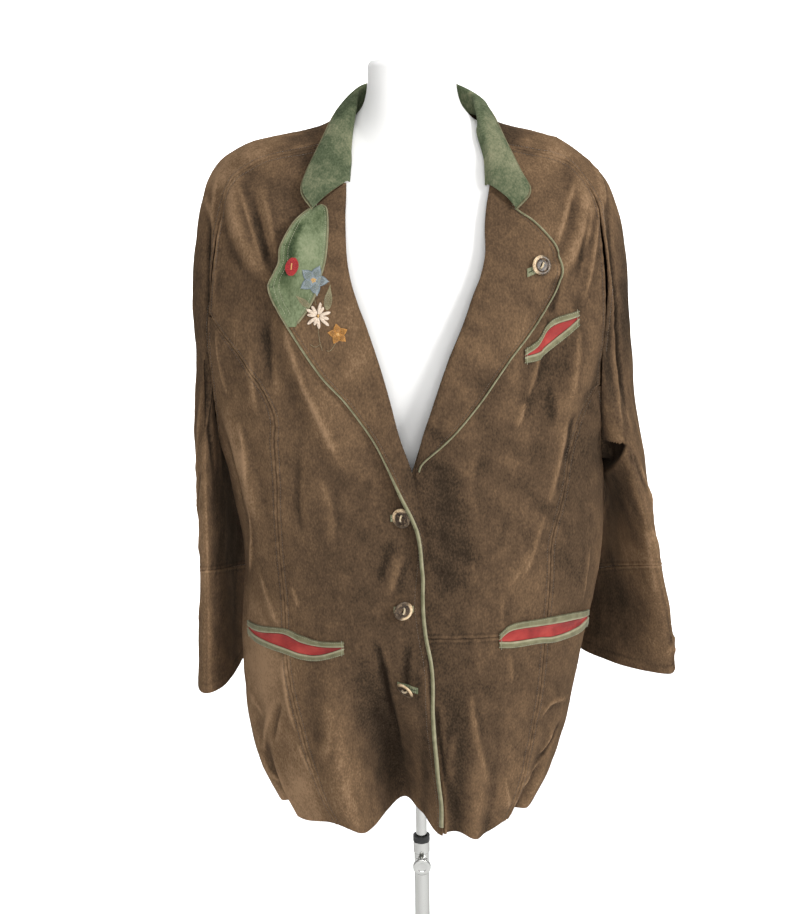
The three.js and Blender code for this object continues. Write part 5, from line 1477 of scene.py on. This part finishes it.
# The gutter inside the leaf's curled edge is painted darker: painted shadow of the curl.
leaf_shade = 0.46 - 0.40 * gutter * smooth_step(12.6, 11.4, row)
cloth(
    "leaf_cloth", points, facing, TRIM, leaf_suede, "leaf_patch",
    wear_and_shade=leaf_shade,
)
row = np.linspace(7.2, 13.3, 120)
strip = read(leaf_rows, row)[:, 0:1] + 0.018 * ACROSS
row = np.broadcast_to(row[:, None], strip.shape)
points, facing = lapel_place("right", row, strip, ON_LEAF + 0.5 + ROUNDED)
cloth("leaf_binding", points, facing, 0.7, pale_leather)

# ---------- pockets ----------
# Two hip pockets and a breast pocket, each a slit between two welts of pale green leather. The
# mouths gape, and the red lining of the pocket bag shows.
LINING = 0.6
red_lining, tree, shader = new_material(
    "red_lining", Roughness=0.6, Sheen_Weight=0.08, Sheen_Roughness=0.4, Specular_IOR_Level=0.3
)
place = object_place(tree)
warp, weft = (bands(tree, place, way, 900.0, Distortion=0.6) for way in ("X", "Z"))
red = ramp(
    tree, noise(tree, place, 45.0, 4.0),
    [(0.32, (0.17, 0.014, 0.013)), (0.5, (0.29, 0.025, 0.021)), (0.68, (0.38, 0.045, 0.034))],
)
joined(tree, shader, red, bump(tree, maths(tree, "MULTIPLY", warp, weft), 0.3, 0.0002))

# x, top, top of the mouth, low side of the mouth, low edge
pockets = {
    "right_hip": [
        [-204, 847, 840, 838, 830], [-189, 850, 842, 835, 827], [-160, 856, 849, 832, 825],
        [-138, 852, 843, 829, 822], [-118, 849, 842, 831, 824], [-88, 851, 844, 843, 835],
    ],
    "left_hip": [
        [91, 858, 850, 848, 840], [106, 868, 860, 846, 838], [136, 869, 860, 845, 837],
        [157, 867, 857, 840, 832], [184, 861, 851, 839, 830], [203, 852, 843, 840, 829],
    ],
    "breast": [
        [122, 1188, 1180, 1179, 1171], [137, 1196, 1188, 1181, 1172], [147, 1210, 1202, 1187, 1178],
        [160, 1220, 1212, 1197, 1188], [184, 1226, 1219, 1217, 1208],
    ],
}
carriers = {
    "right_hip": ("right", "right_front_panel"),
    "left_hip": ("left", "left_skirt_panel"),
    "breast": ("left", "left_chest_panel"),
}
welt_grids = []
for name, rows in pockets.items():
    side, carrier = carriers[name]
    table = np.array([[k, *row] for k, row in enumerate(rows)], float)
    at = np.linspace(0, len(rows) - 1, int((rows[-1][0] - rows[0][0]) / 1.6))
    x, top, mouth_top, mouth_low, low = np.split(read(table, at), 5, axis=1)
    for part, high, under, mouth in (
        ("upper_welt", top, mouth_top, ACROSS), ("lower_welt", mouth_low, low, -ACROSS),
    ):
        z = high + (under - high) * ((ACROSS + 1) / 2)
        fold = 0.9 * np.sqrt(np.clip(1 - ACROSS**4, 0, 1)) - 0.75
        fold = fold + 0.14 * np.sin(x / 2.3) * (1 - ACROSS**2)
        stitched = -0.25 * np.exp(-(((np.abs(ACROSS) - 0.62) / 0.12) ** 2))
        lift = CLEAR + TRIM + 1.2 + fold + stitched
        points, facing = cloth_face(side, *np.broadcast_arrays(x, z), lift)
        # Each welt is painted pale at its fold by the mouth and darker at its far edge against the
        # panel: rubbed fold with painted highlight, and painted shade.
        tone = 0.36 + 0.44 * smooth_step(0.25, 0.8, mouth) - 0.12 * smooth_step(-0.5, -0.95, mouth)
        cloth(
            f"{name}_{part}_cloth", points, facing, TRIM, pale_leather,
            f"{name}_{part}", wear_and_shade=np.broadcast_to(tone, points.shape[:2]),
        )
        welt_grids.append((points, facing))
    down = np.linspace(0, 1, 15)
    high, under = mouth_top - 0.5, mouth_low + 0.5
    z = high + (under - high) * down
    sag = 0.7 * np.sin(x / 7.0 + down * 4) * np.sin(down * math.pi)
    gape = np.sin(down * math.pi) * -0.5
    lift = CLEAR + 1.1 + sag * 0.5 + gape
    points, facing = cloth_face(side, *np.broadcast_arrays(x, z), lift)
    cloth(
        f"{name}_bag_lining", points, facing, LINING, red_lining,
        f"{name}_lining",
    )

# ---------- bound buttonholes ----------
# Three down the wearer's right front and one in the left lapel. Each is a slit between two
# narrow lips of green suede, stitched round.
buttonholes = {
    "lapel": ([124, 148], [1271, 1279], 4.5, ON_LAPEL, "left", "left_lapel_facing"),
    "upper": ([-32, -13], [1000, 1002], 4, 0, "right", "right_front_panel"),
    "middle": ([-30, -7], [891, 892], 4, 0, "right", "right_front_panel"),
    "lower": ([-27, -3], [797, 790], 4, 0, "right", "right_front_panel"),
}
hole_grids = []
for name, (xs, zs, half, lift, side, carrier) in buttonholes.items():
    t, v = np.linspace(0, 1, 26)[:, None], np.linspace(-1, 1, 21)
    x = xs[0] + (xs[1] - xs[0]) * t + 0 * v
    z = zs[0] + (zs[1] - zs[0]) * t + half * v
    lips = 0.5 * np.sqrt(np.clip(1 - (2 * np.abs(v) - 1) ** 4, 0, 1))
    slit = -np.exp(-((v / 0.09) ** 2)) * smooth_step(0.04, 0.12, t) * smooth_step(0.96, 0.88, t)
    ends = -0.3 * (np.exp(-((t / 0.04) ** 2)) + np.exp(-(((1 - t) / 0.04) ** 2)))
    points, facing = cloth_face(side, x, z, lift + CLEAR + TRIM - 0.4 + lips + slit + ends)
    # The slit between the lips is painted darker: painted shade in the slit.
    cloth(
        f"{name}_buttonhole_lips", points, facing, TRIM, green_suede,
        f"{name}_buttonhole", wear_and_shade=0.5 + 0.5 * slit,
    )
    hole_grids.append((points, facing))

# ---------- buttons and their cords ----------
# Horn buttons with a dark dished middle and an outer rim painted pale on one side, a painted
# # highlight, sewn on through two holes with waxed cream cord. Each stands as it has been left, and
# # the lower ones tip on their cords.
horn, tree, shader = new_material(
    "horn", Roughness=0.36, Specular_IOR_Level=0.2, Coat_Weight=0.1, Coat_Roughness=0.2
)
streaks = noise(tree, carried(tree, "own_place", "Vector"), 2.4, 4.0, Distortion=1.8)
dark_horn = ramp(
    tree, streaks,
    [(0.35, (0.016, 0.010, 0.007)), (0.54, (0.05, 0.032, 0.02)), (0.7, (0.15, 0.10, 0.06))],
)
# The pale tones laid on one side of the rim: painted highlight.
highlight_horn = ramp(
    tree, streaks,
    [(0.3, (0.24, 0.15, 0.08)), (0.5, (0.58, 0.42, 0.25)), (0.7, (0.78, 0.64, 0.43))],
)
horn_tone = add_node(
    tree, "ShaderNodeMix", {"data_type": "RGBA"}, i0=carried(tree, "rim_highlight"), i6=dark_horn,
    i7=highlight_horn,
)
joined(tree, shader, horn_tone.outputs[2], bump(tree, streaks, 0.15, 0.0001))

waxed_cord, tree, shader = new_material("waxed_cord", Roughness=0.7, Sheen_Weight=0.2)
twist = add_node(tree, "ShaderNodeUVMap", {"uv_map": "strand"}).outputs[0]
plies = bands(tree, twist, "DIAGONAL", 6.0, Distortion=0.4)
cord_tone = ramp(tree, plies, [(0.2, (0.42, 0.31, 0.18)), (0.7, (0.78, 0.64, 0.42))])
joined(tree, shader, cord_tone, bump(tree, plies, 0.6, 0.0003))

BUTTON_LIFT = 2 * CLEAR + TRIM
APART = 3.4
HOLE = 1.7
CORD = 1.1
BUTTON_ROUND = 96
CORD_ROUND = 12
CORD_STEPS = 45
# radius and height of the button's section, from the middle of its face round to its back
button_section = [
    [0, 1.75], [1.6, 1.75], [3.2, 1.75], [4.8, 1.76], [6.0, 1.8], [6.8, 1.9], [7.4, 2.15],
    [8.0, 2.38], [8.8, 2.46], [9.8, 2.42], [10.6, 2.25], [11.2, 1.9], [11.5, 1.35], [11.4, 0.8],
    [11.0, 0.4], [10.2, 0.12], [8.5, 0.0], [5, 0.0], [0, 0.0],
]


def button_mesh():
    """One button about its own middle, with its two holes cut through."""
    turn = np.linspace(0, 2 * math.pi, BUTTON_ROUND, endpoint=False)
    points = [(0, 0, button_section[0][1]), (0, 0, 0)]
    for radius, z in button_section[1:-1]:
        points += [(radius * math.cos(a), radius * math.sin(a), z) for a in turn]
    rings = len(button_section) - 2
    last = 2 + (rings - 1) * BUTTON_ROUND
    faces = []
    for c in range(BUTTON_ROUND):
        d = (c + 1) % BUTTON_ROUND
        faces += [(0, 2 + c, 2 + d), (1, last + d, last + c)]
        for a in range(2, last, BUTTON_ROUND):
            b = a + BUTTON_ROUND
            faces.append((a + c, b + c, b + d, a + d))
    blank = put("button_blank", bpy.data.meshes.new("button_blank"))
    blank.data.from_pydata(points, [], faces)
    drills = bmesh.new()
    for hand in (-1, 1):
        place = Matrix.Translation((hand * APART, 0, 1))
        bmesh.ops.create_cone(
            drills, cap_ends=True, segments=24, radius1=HOLE, radius2=HOLE, depth=8, matrix=place
        )
    drill = put("drill", bpy.data.meshes.new("drill"))
    drills.to_mesh(drill.data)
    drills.free()
    cut = blank.modifiers.new("holes", "BOOLEAN")
    cut.operation, cut.solver, cut.object = "DIFFERENCE", "EXACT", drill
    made = bpy.data.meshes.new_from_object(
        blank.evaluated_get(bpy.context.evaluated_depsgraph_get())
    )
    bpy.data.objects.remove(blank)
    bpy.data.objects.remove(drill)
    return made


# x, z, lift of what it is on, spin, tip sideways, tip upwards, and the side of its rim where
# # the highlight is painted
buttons = {
    "lapel": (140, 1278, ON_LAPEL + 1.2, 62, 6, 4, 2.9),
    "upper": (-19, 1001, 2.4, 80, -26, 4, 2.4),
    "middle": (-19, 892, 3.6, 75, 24, 6, -0.5),
    "lower": (-16, 795, 6.2, 20, -26, 26, 1.2),
}
cord_path = [
    (-APART, -BUTTON_LIFT + 2 * CLEAR), (-APART, 0.4), (-APART, 1.5), (-APART * 0.8, 2.9),
    (-APART * 0.4, 3.5), (0, 3.65), (APART * 0.4, 3.5), (APART * 0.8, 2.9), (APART, 1.5),
    (APART, 0.4), (APART, -BUTTON_LIFT + 2 * CLEAR),
]
keys = np.array([(k, a, 0, b) for k, (a, b) in enumerate(cord_path)], float)
cord_line = read(keys, np.linspace(0, len(keys) - 1, CORD_STEPS))
side_way = np.array([0.0, 1.0, 0.0])
up_way = np.cross(unit(np.gradient(cord_line, axis=0)), side_way)
round_turn = np.linspace(0, 2 * math.pi, CORD_ROUND, endpoint=False)
cord_points = [
    cord_line[k] + CORD * (math.cos(a) * side_way + math.sin(a) * up_way[k])
    for k in range(CORD_STEPS) for a in round_turn
]
blank_button = button_mesh()
for name, (x, z, on, spin, tip_side, tip_up, highlight_side) in buttons.items():
    angle, level = from_front(np.array(x), np.array(z))
    facing = body_facing(angle, level)
    middle = on_body(angle, level, on + BUTTON_LIFT)
    turn = Vector((0, -1, 0)).rotation_difference(Vector(facing))
    placed = Matrix.Translation(middle) @ turn.to_matrix().to_4x4()
    placed = placed @ Euler((math.radians(tip_up), 0, 0)).to_matrix().to_4x4()
    for degrees, axis in ((tip_side, "Z"), (90, "X"), (spin, "Z")):
        placed = placed @ Matrix.Rotation(math.radians(degrees), 4, axis)
    mesh = blank_button.copy()
    own = np.array([corner.co for corner in mesh.vertices])
    places = mesh.attributes.new("own_place", "FLOAT_VECTOR", "POINT")
    places.data.foreach_set("vector", (own / 11.5 + len(name)).ravel().astype(np.float32))
    radius = np.hypot(own[:, 0], own[:, 1])
    # The rim is painted pale on one side only: a painted highlight on the rim.
    around = np.arctan2(own[:, 1], own[:, 0]) + math.radians(spin) - highlight_side
    lit = 0.06 + 0.94 * smooth_step(-0.1, 0.75, np.cos(around))
    rim_highlight_share = smooth_step(7.2, 8.6, radius) * lit
    rims = mesh.attributes.new("rim_highlight", "FLOAT", "POINT")
    rims.data.foreach_set("value", rim_highlight_share.astype(np.float32))
    mesh.transform(Matrix.Scale(MM, 4) @ placed)
    mesh.materials.append(horn)
    mesh.shade_smooth()
    mesh.set_sharp_from_angle(angle=math.radians(40))
    button = put(f"{name}_horn_button", mesh)
    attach(button, "form")
    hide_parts(f"{name}_button")
    cord = plain_mesh(
        f"{name}_button_cord", [placed @ Vector(point) for point in cord_points],
        ring_faces(CORD_STEPS, CORD_ROUND), waxed_cord, "form",
    )
    strand = cord.data.uv_layers.new(name="strand")
    for loop in cord.data.loops:
        k, c = divmod(loop.vertex_index, CORD_ROUND)
        strand.data[loop.index].uv = (k / (CORD_STEPS - 1) * 3.0, c / CORD_ROUND + k / 30)
    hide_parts(f"{name}_cord")
bpy.data.meshes.remove(blank_button)

# ---------- topstitching ----------
# Waxed thread, one stitch after another at an even pitch: brown on the brown seams and edges,
# and pale on the green collar, the leaf and the welts.
STITCH_PITCH = 3.3
BESIDE = 5.4
SINK = 0.05


def line_beside(points, facing, edge, distance, first=0.0, last=1.0):
    """A line on a grid at a distance from its low, high, first or last edge."""
    if edge in ("low", "high"):
        points, facing = points.transpose(1, 0, 2), facing.transpose(1, 0, 2)
    if edge in ("high", "last"):
        points, facing = points[:, ::-1], facing[:, ::-1]
    run = arc_from_start(points, 1)
    past = np.clip((run < distance).sum(1), 1, run.shape[1] - 1)
    rows = np.arange(len(points))
    a, b = run[rows, past - 1], run[rows, past]
    t = np.clip((distance - a) / np.maximum(b - a, 1e-6), 0, 1)[:, None]
    place = points[rows, past - 1] * (1 - t) + points[rows, past] * t
    wide = run[:, -1] > distance * 1.5
    keep = (rows >= int(first * len(rows))) & (rows < int(last * len(rows)))
    return (place + facing[rows, past] * SINK)[keep & wide]


def line_tree(name, sizes):
    """A tree of geometry nodes that works on lines: the tree, its named inputs and its curve."""
    tree = bpy.data.node_groups.new(name, "GeometryNodeTree")
    face = tree.interface
    face.new_socket("Geometry", in_out="INPUT", socket_type="NodeSocketGeometry")
    for socket, value in sizes.items():
        made = face.new_socket(socket, in_out="INPUT", socket_type="NodeSocketFloat")
        made.default_value = value * MM
    face.new_socket("Thread", in_out="INPUT", socket_type="NodeSocketMaterial")
    face.new_socket("Geometry", in_out="OUTPUT", socket_type="NodeSocketGeometry")
    given = tree.nodes.new("NodeGroupInput").outputs
    curve = add_node(tree, "GeometryNodeMeshToCurve", Mesh=given["Geometry"]).outputs["Curve"]
    return tree, given, curve


def threaded(tree, given, geometry):
    """Ends a tree: what it has made is of the thread's material."""
    made = add_node(
        tree, "GeometryNodeSetMaterial", Geometry=geometry, Material=given["Thread"]
    )
    end = tree.nodes.new("NodeGroupOutput")
    tree.links.new(made.outputs["Geometry"], end.inputs["Geometry"])


stitches, given, curve = line_tree(
    "stitches_along_lines", {"Pitch": STITCH_PITCH, "Stitch length": 2.5, "Thread radius": 0.36}
)
along = add_node(
    stitches, "GeometryNodeCurveToPoints", {"mode": "LENGTH"}, Curve=curve, Length=given["Pitch"]
).outputs
half = maths(stitches, "MULTIPLY", given["Stitch length"], 0.5)
size = add_node(
    stitches, "ShaderNodeCombineXYZ", X=given["Thread radius"], Y=given["Thread radius"], Z=half
)
grain = add_node(stitches, "GeometryNodeMeshUVSphere", Segments=6, Rings=4, Radius=1.0)
stitch = add_node(
    stitches, "GeometryNodeTransform", Geometry=grain.outputs["Mesh"], Scale=size.outputs[0]
)
laid = add_node(
    stitches, "GeometryNodeInstanceOnPoints", Points=along["Points"],
    Instance=stitch.outputs["Geometry"], Rotation=along["Rotation"],
)
real = add_node(stitches, "GeometryNodeRealizeInstances", Geometry=laid.outputs["Instances"])
threaded(stitches, given, real.outputs["Geometry"])

strands, given, curve = line_tree("threads_along_lines", {"Thread radius": 0.3})
ring = add_node(
    strands, "GeometryNodeCurvePrimitiveCircle", Resolution=6, Radius=given["Thread radius"]
)
tube = add_node(
    strands, "GeometryNodeCurveToMesh", Curve=curve, Profile_Curve=ring.outputs["Curve"],
    Fill_Caps=True,
)
threaded(strands, given, tube.outputs["Mesh"])


def sewn(name, lines, tree, slot, thread, **sizes):
    """Grows stitches or threads along lines, once, and keeps the plain mesh that comes of it.
    The sizes, in millimetres, are given by the names of the tree's inputs."""
    mesh = bpy.data.meshes.new(name)
    points, edges = [], []
    for line in lines:
        edges += [(len(points) + k, len(points) + k + 1) for k in range(len(line) - 1)]
        points += [tuple(p) for p in np.asarray(line) * MM]
    mesh.from_pydata(points, edges, [])
    piece = put(name, mesh)
    modifier = piece.modifiers.new("grow", "NODES")
    modifier.node_group = tree
    settings = {key.replace("_", " "): size * MM for key, size in sizes.items()}
    settings["Thread"] = thread
    for item in tree.interface.items_tree:
        if item.item_type == "SOCKET" and item.in_out == "INPUT" and item.name in settings:
            modifier[item.identifier] = settings[item.name]
    piece.update_tag()
    state = piece.evaluated_get(bpy.context.evaluated_depsgraph_get())
    made = bpy.data.meshes.new_from_object(state)
    piece.modifiers.clear()
    piece.data = made
    bpy.data.meshes.remove(mesh)
    made.name = name
    made.shade_smooth()
    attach(piece, "form")


def thread(name, dark, light):
    """Twisted thread: fine turned plies in two tones."""
    material, tree, shader = new_material(
        name, Roughness=0.62, Sheen_Weight=0.35, Sheen_Roughness=0.35, Specular_IOR_Level=0.35
    )
    plies = noise(tree, object_place(tree), 1500.0, 3.0, Distortion=0.8)
    tone = ramp(tree, plies, [(0.35, dark), (0.65, light)])
    joined(tree, shader, tone, bump(tree, plies, 0.4, 0.0002))
    return material


brown_thread = thread("brown_thread", (0.045, 0.030, 0.020), (0.15, 0.105, 0.07))
pale_thread = thread("pale_thread", (0.20, 0.20, 0.13), (0.44, 0.42, 0.29))
# panel, its edge, the distance from it, and the shares of it where the row starts and ends
brown_lines = [line_beside(*panel_grids[node], *row) for node, *row in [
    ("right_front", "first", BESIDE),
    ("right_front", "last", 8.6, 0.0, 0.44),
    ("right_side_front", "last", BESIDE, 0.0, 0.95),
    ("right_side_front", "first", BESIDE, 0.76, 0.95),
    ("left_lower_front", "last", BESIDE),
    ("left_upper_front", "last", BESIDE),
    ("left_side_front", "first", BESIDE, 0.0, 0.95),
    ("left_side_front", "last", BESIDE, 0.88, 0.97),
    ("left_back", "last", BESIDE),
    ("right_back", "first", BESIDE),
    ("left_back", "first", BESIDE, 0.55, 1.0),
    ("right_back", "last", BESIDE, 0.55, 1.0),
]]
for side in ("right", "left"):
    brown_lines += [
        line_beside(*shoulder_grids[side], "first", BESIDE),
        line_beside(*shoulder_grids[side], "last", BESIDE),
        line_beside(*cuff_grids[side], "low", BESIDE),
        line_beside(*lapel_grids[side], "last", 5.5),
    ]
brown_lines = [line for line in brown_lines if len(line) > 2]
sewn("brown_topstitching", brown_lines, stitches, "brown_suede", brown_thread)

row = np.linspace(7.6, 12.9, 90)
inner, outer = read(leaf_rows, row).T
pale_lines = [
    lapel_place("right", row, share, ON_LEAF + 0.1)[0]
    for share in (outer - 0.055, outer - 0.115, inner + 0.045)
]
pale_lines.append(line_beside(collar_points, collar_out, "last", 5.5))
for grid in welt_grids:
    pale_lines += [line_beside(*grid, edge, 1.5) for edge in ("first", "last")]
sewn(
    "pale_topstitching", pale_lines, stitches, "pale_green_piping", pale_thread, Pitch=2.6,
    Stitch_length=2.0, Thread_radius=0.28,
)

# Short stitches across the ends of the pockets and round the slits of the buttonholes.
short_stitches = []
for name, rows in pockets.items():
    for row, inset in ((rows[0], 2.2), (rows[-1], -2.2)):
        z = np.linspace(row[4] - 1.5, row[1] + 1.5, 9)
        x = np.full(z.shape, row[0] + inset)
        short_stitches.append(cloth_face(carriers[name][0], x, z, CLEAR + TRIM + 1.45)[0])
for points, facing in hole_grids:
    middle = points.shape[1] // 2
    for k in range(2, len(points) - 2, 2):
        for a, b in ((middle - 8, middle - 1), (middle + 1, middle + 8)):
            short_stitches.append(points[k, a:b:2] + facing[k, a:b:2] * 0.1)
sewn(
    "bar_stitches", short_stitches, strands, "pale_green_piping", pale_thread,
    Thread_radius=0.22,
)

# ---------- embroidery on the right lapel ----------
# Alpine flowers worked by hand in stranded thread: a red bud, a blue gentian, a white edelweiss,
# an orange star and olive leaves. Each petal is a fan of long threads, raised in its middle.
GENTIAN = (-113, 1269)
EDELWEISS = (-109, 1230)
STAR = (-87, 1210)
BUD = (-137, 1284)
FIFTH = 2 * math.pi / 5
grounds = [lapel_grids["right"], lapel_place("right", *leaf_grid(160, 40), ON_LEAF)]
ground_points, ground_facing = (
    np.concatenate([part.reshape(-1, 3) for part in parts]) for parts in zip(*grounds)
)


def worked_on(x, z, lift):
    """Places on the lapel, or on the leaf where that lies over it, lifted off the cloth."""
    x, z, lift = (np.ravel(v) for v in np.broadcast_arrays(x, z, lift))
    found = []
    for a, b, up in zip(x, z, lift):
        far = (ground_points[:, 0] - a) ** 2 + (ground_points[:, 2] - b) ** 2
        near = np.argpartition(far, 6)[:6]
        front = near[ground_points[near, 1] <= ground_points[near, 1].min() + 0.9]
        share = 1 / (far[front] + 0.05)
        y = (ground_points[front, 1] * share).sum() / share.sum()
        found.append(np.array([a, y, b]) + ground_facing[front[0]] * up)
    return np.array(found)


def petal_threads(heart, length, width, turn, start=1.0, count=7, steps=9, arch=0.9, point=1.0):
    """Threads from the heart of a flower out to the tip of one petal."""
    lines = []
    t = np.linspace(0, 1, steps)
    for u in np.linspace(-1, 1, count):
        bulge = np.sin(math.pi * t**0.75) ** 0.8
        side = u * width / 2 * bulge * point + u * width / 2 * (1 - point) * t
        reach = start + (length - start) * t * (1 - 0.12 * u * u)
        a = heart[0] + reach * math.cos(turn) - side * math.sin(turn)
        b = heart[1] + reach * math.sin(turn) + side * math.cos(turn)
        lines.append(worked_on(a, b, 0.25 + arch * np.sin(math.pi * t) * (1 - 0.55 * u * u)))
    return lines


def five_petals(heart, length, width, turn, *shape):
    """The threads of a flower with five petals, from the turn of its first."""
    flower = []
    for k in range(5):
        flower += petal_threads(heart, length, width, turn + k * FIFTH, *shape)
    return flower


def knots(heart, spread, count):
    """Little French knots in the heart of a flower, each a closed ring of thread."""
    lines = []
    around = np.linspace(0, 2 * math.pi, 7)
    for k in range(count):
        far, turn = spread * math.sqrt((k + 0.5) / count), k * 2.4
        a, b = heart[0] + far * math.cos(turn), heart[1] + far * math.sin(turn)
        lines.append(worked_on(a + 0.45 * np.cos(around), b + 0.45 * np.sin(around), 1.1))
    return lines


blue_thread = thread("grey_blue_thread", (0.15, 0.19, 0.205), (0.35, 0.395, 0.41))
rim_blue_thread = thread("deep_blue_thread", (0.06, 0.09, 0.105), (0.17, 0.21, 0.235))
cream_thread = thread("cream_thread", (0.50, 0.38, 0.28), (0.90, 0.78, 0.64))
orange_thread = thread("orange_thread", (0.30, 0.12, 0.02), (0.66, 0.33, 0.08))
yellow_thread = thread("yellow_thread", (0.55, 0.30, 0.08), (0.82, 0.52, 0.20))
red_thread = thread("red_thread", (0.16, 0.008, 0.010), (0.46, 0.026, 0.028))
olive_thread = thread("olive_thread", (0.14, 0.12, 0.06), (0.34, 0.30, 0.17))
edelweiss = []
for k, (reach, lean) in enumerate(
    [(14.5, 0), (11.5, 0.12), (15, -0.08), (13, 0.1), (15.5, 0), (12, -0.12), (15, 0.06),
     (11, 0), (14, -0.1), (16, 0.1), (12.5, 0)]
):
    turn = 0.3 + k * 2 * math.pi / 11 + lean
    edelweiss += petal_threads(EDELWEISS, reach, 3.9, turn, 2.2, 5, 9, 1.5, 0.45)
bud = []
t = np.linspace(0, 1, 11)
for u in np.linspace(-1, 1, 15):
    side = u * 7.2 * np.sin(math.pi * np.clip(t * 0.94 + 0.03, 0, 1)) ** 0.6
    a, b = BUD[0] + side * 0.97 + (t - 0.5) * 3, BUD[1] + (t - 0.5) * 19
    bud.append(worked_on(a, b, 0.3 + 1.7 * np.sin(math.pi * t) ** 0.7 * (1 - 0.5 * u * u)))
bud_light = [
    worked_on(BUD[0] + u + np.linspace(-0.4, 0.4, 5), BUD[1] + np.linspace(-3.4, 3.4, 5), 2.5)
    for u in (-0.4, 0.2)
]
leaves = petal_threads((-118, 1240), 20, 6.4, 2.45, 0.5, 9, 10, 0.7)
leaves += petal_threads((-99, 1236), 28, 8.4, 1.42, 0.5, 11, 12, 0.7)
t = np.linspace(0, 1, 12)
stems = [
    worked_on(-109 + 4 * t**2, 1216 - 24 * t, 0.35),
    worked_on(-90 - 10 * t, 1200 - 9 * np.sin(t * 2), 0.35),
    worked_on(-118 + 10 * t, 1199 - 3 * np.sin(t * 3), 0.35),
    worked_on(-113 + 2 * t, 1252 - 10 * t, 0.35),
]
for name, tone, lines, radius in [
    ("gentian_petals", blue_thread, five_petals(GENTIAN, 17.2, 9.4, 1.15, 1.5, 9, 9, 1.0), 0.36),
    ("gentian_outlines", rim_blue_thread,
     five_petals(GENTIAN, 18.0, 10.6, 1.15, 2.0, 2, 11, 0.9), 0.42),
    ("edelweiss_petals", cream_thread, edelweiss, 0.42),
    ("orange_star", orange_thread, five_petals(STAR, 11.6, 8.4, 1.75, 1.0, 8, 8, 0.8, 0.85), 0.32),
    ("flower_hearts", yellow_thread,
     knots(GENTIAN, 2.6, 10) + knots(EDELWEISS, 1.6, 4) + knots(STAR, 1.6, 6), 0.36),
    ("red_bud", red_thread, bud, 0.52),
    ("bud_highlight", yellow_thread, bud_light, 0.3),
    ("olive_leaves", olive_thread, leaves, 0.3),
    ("thin_stems", olive_thread, stems, 0.2),
]:
    sewn(name, lines, strands, "cream_cord", tone, Thread_radius=radius)
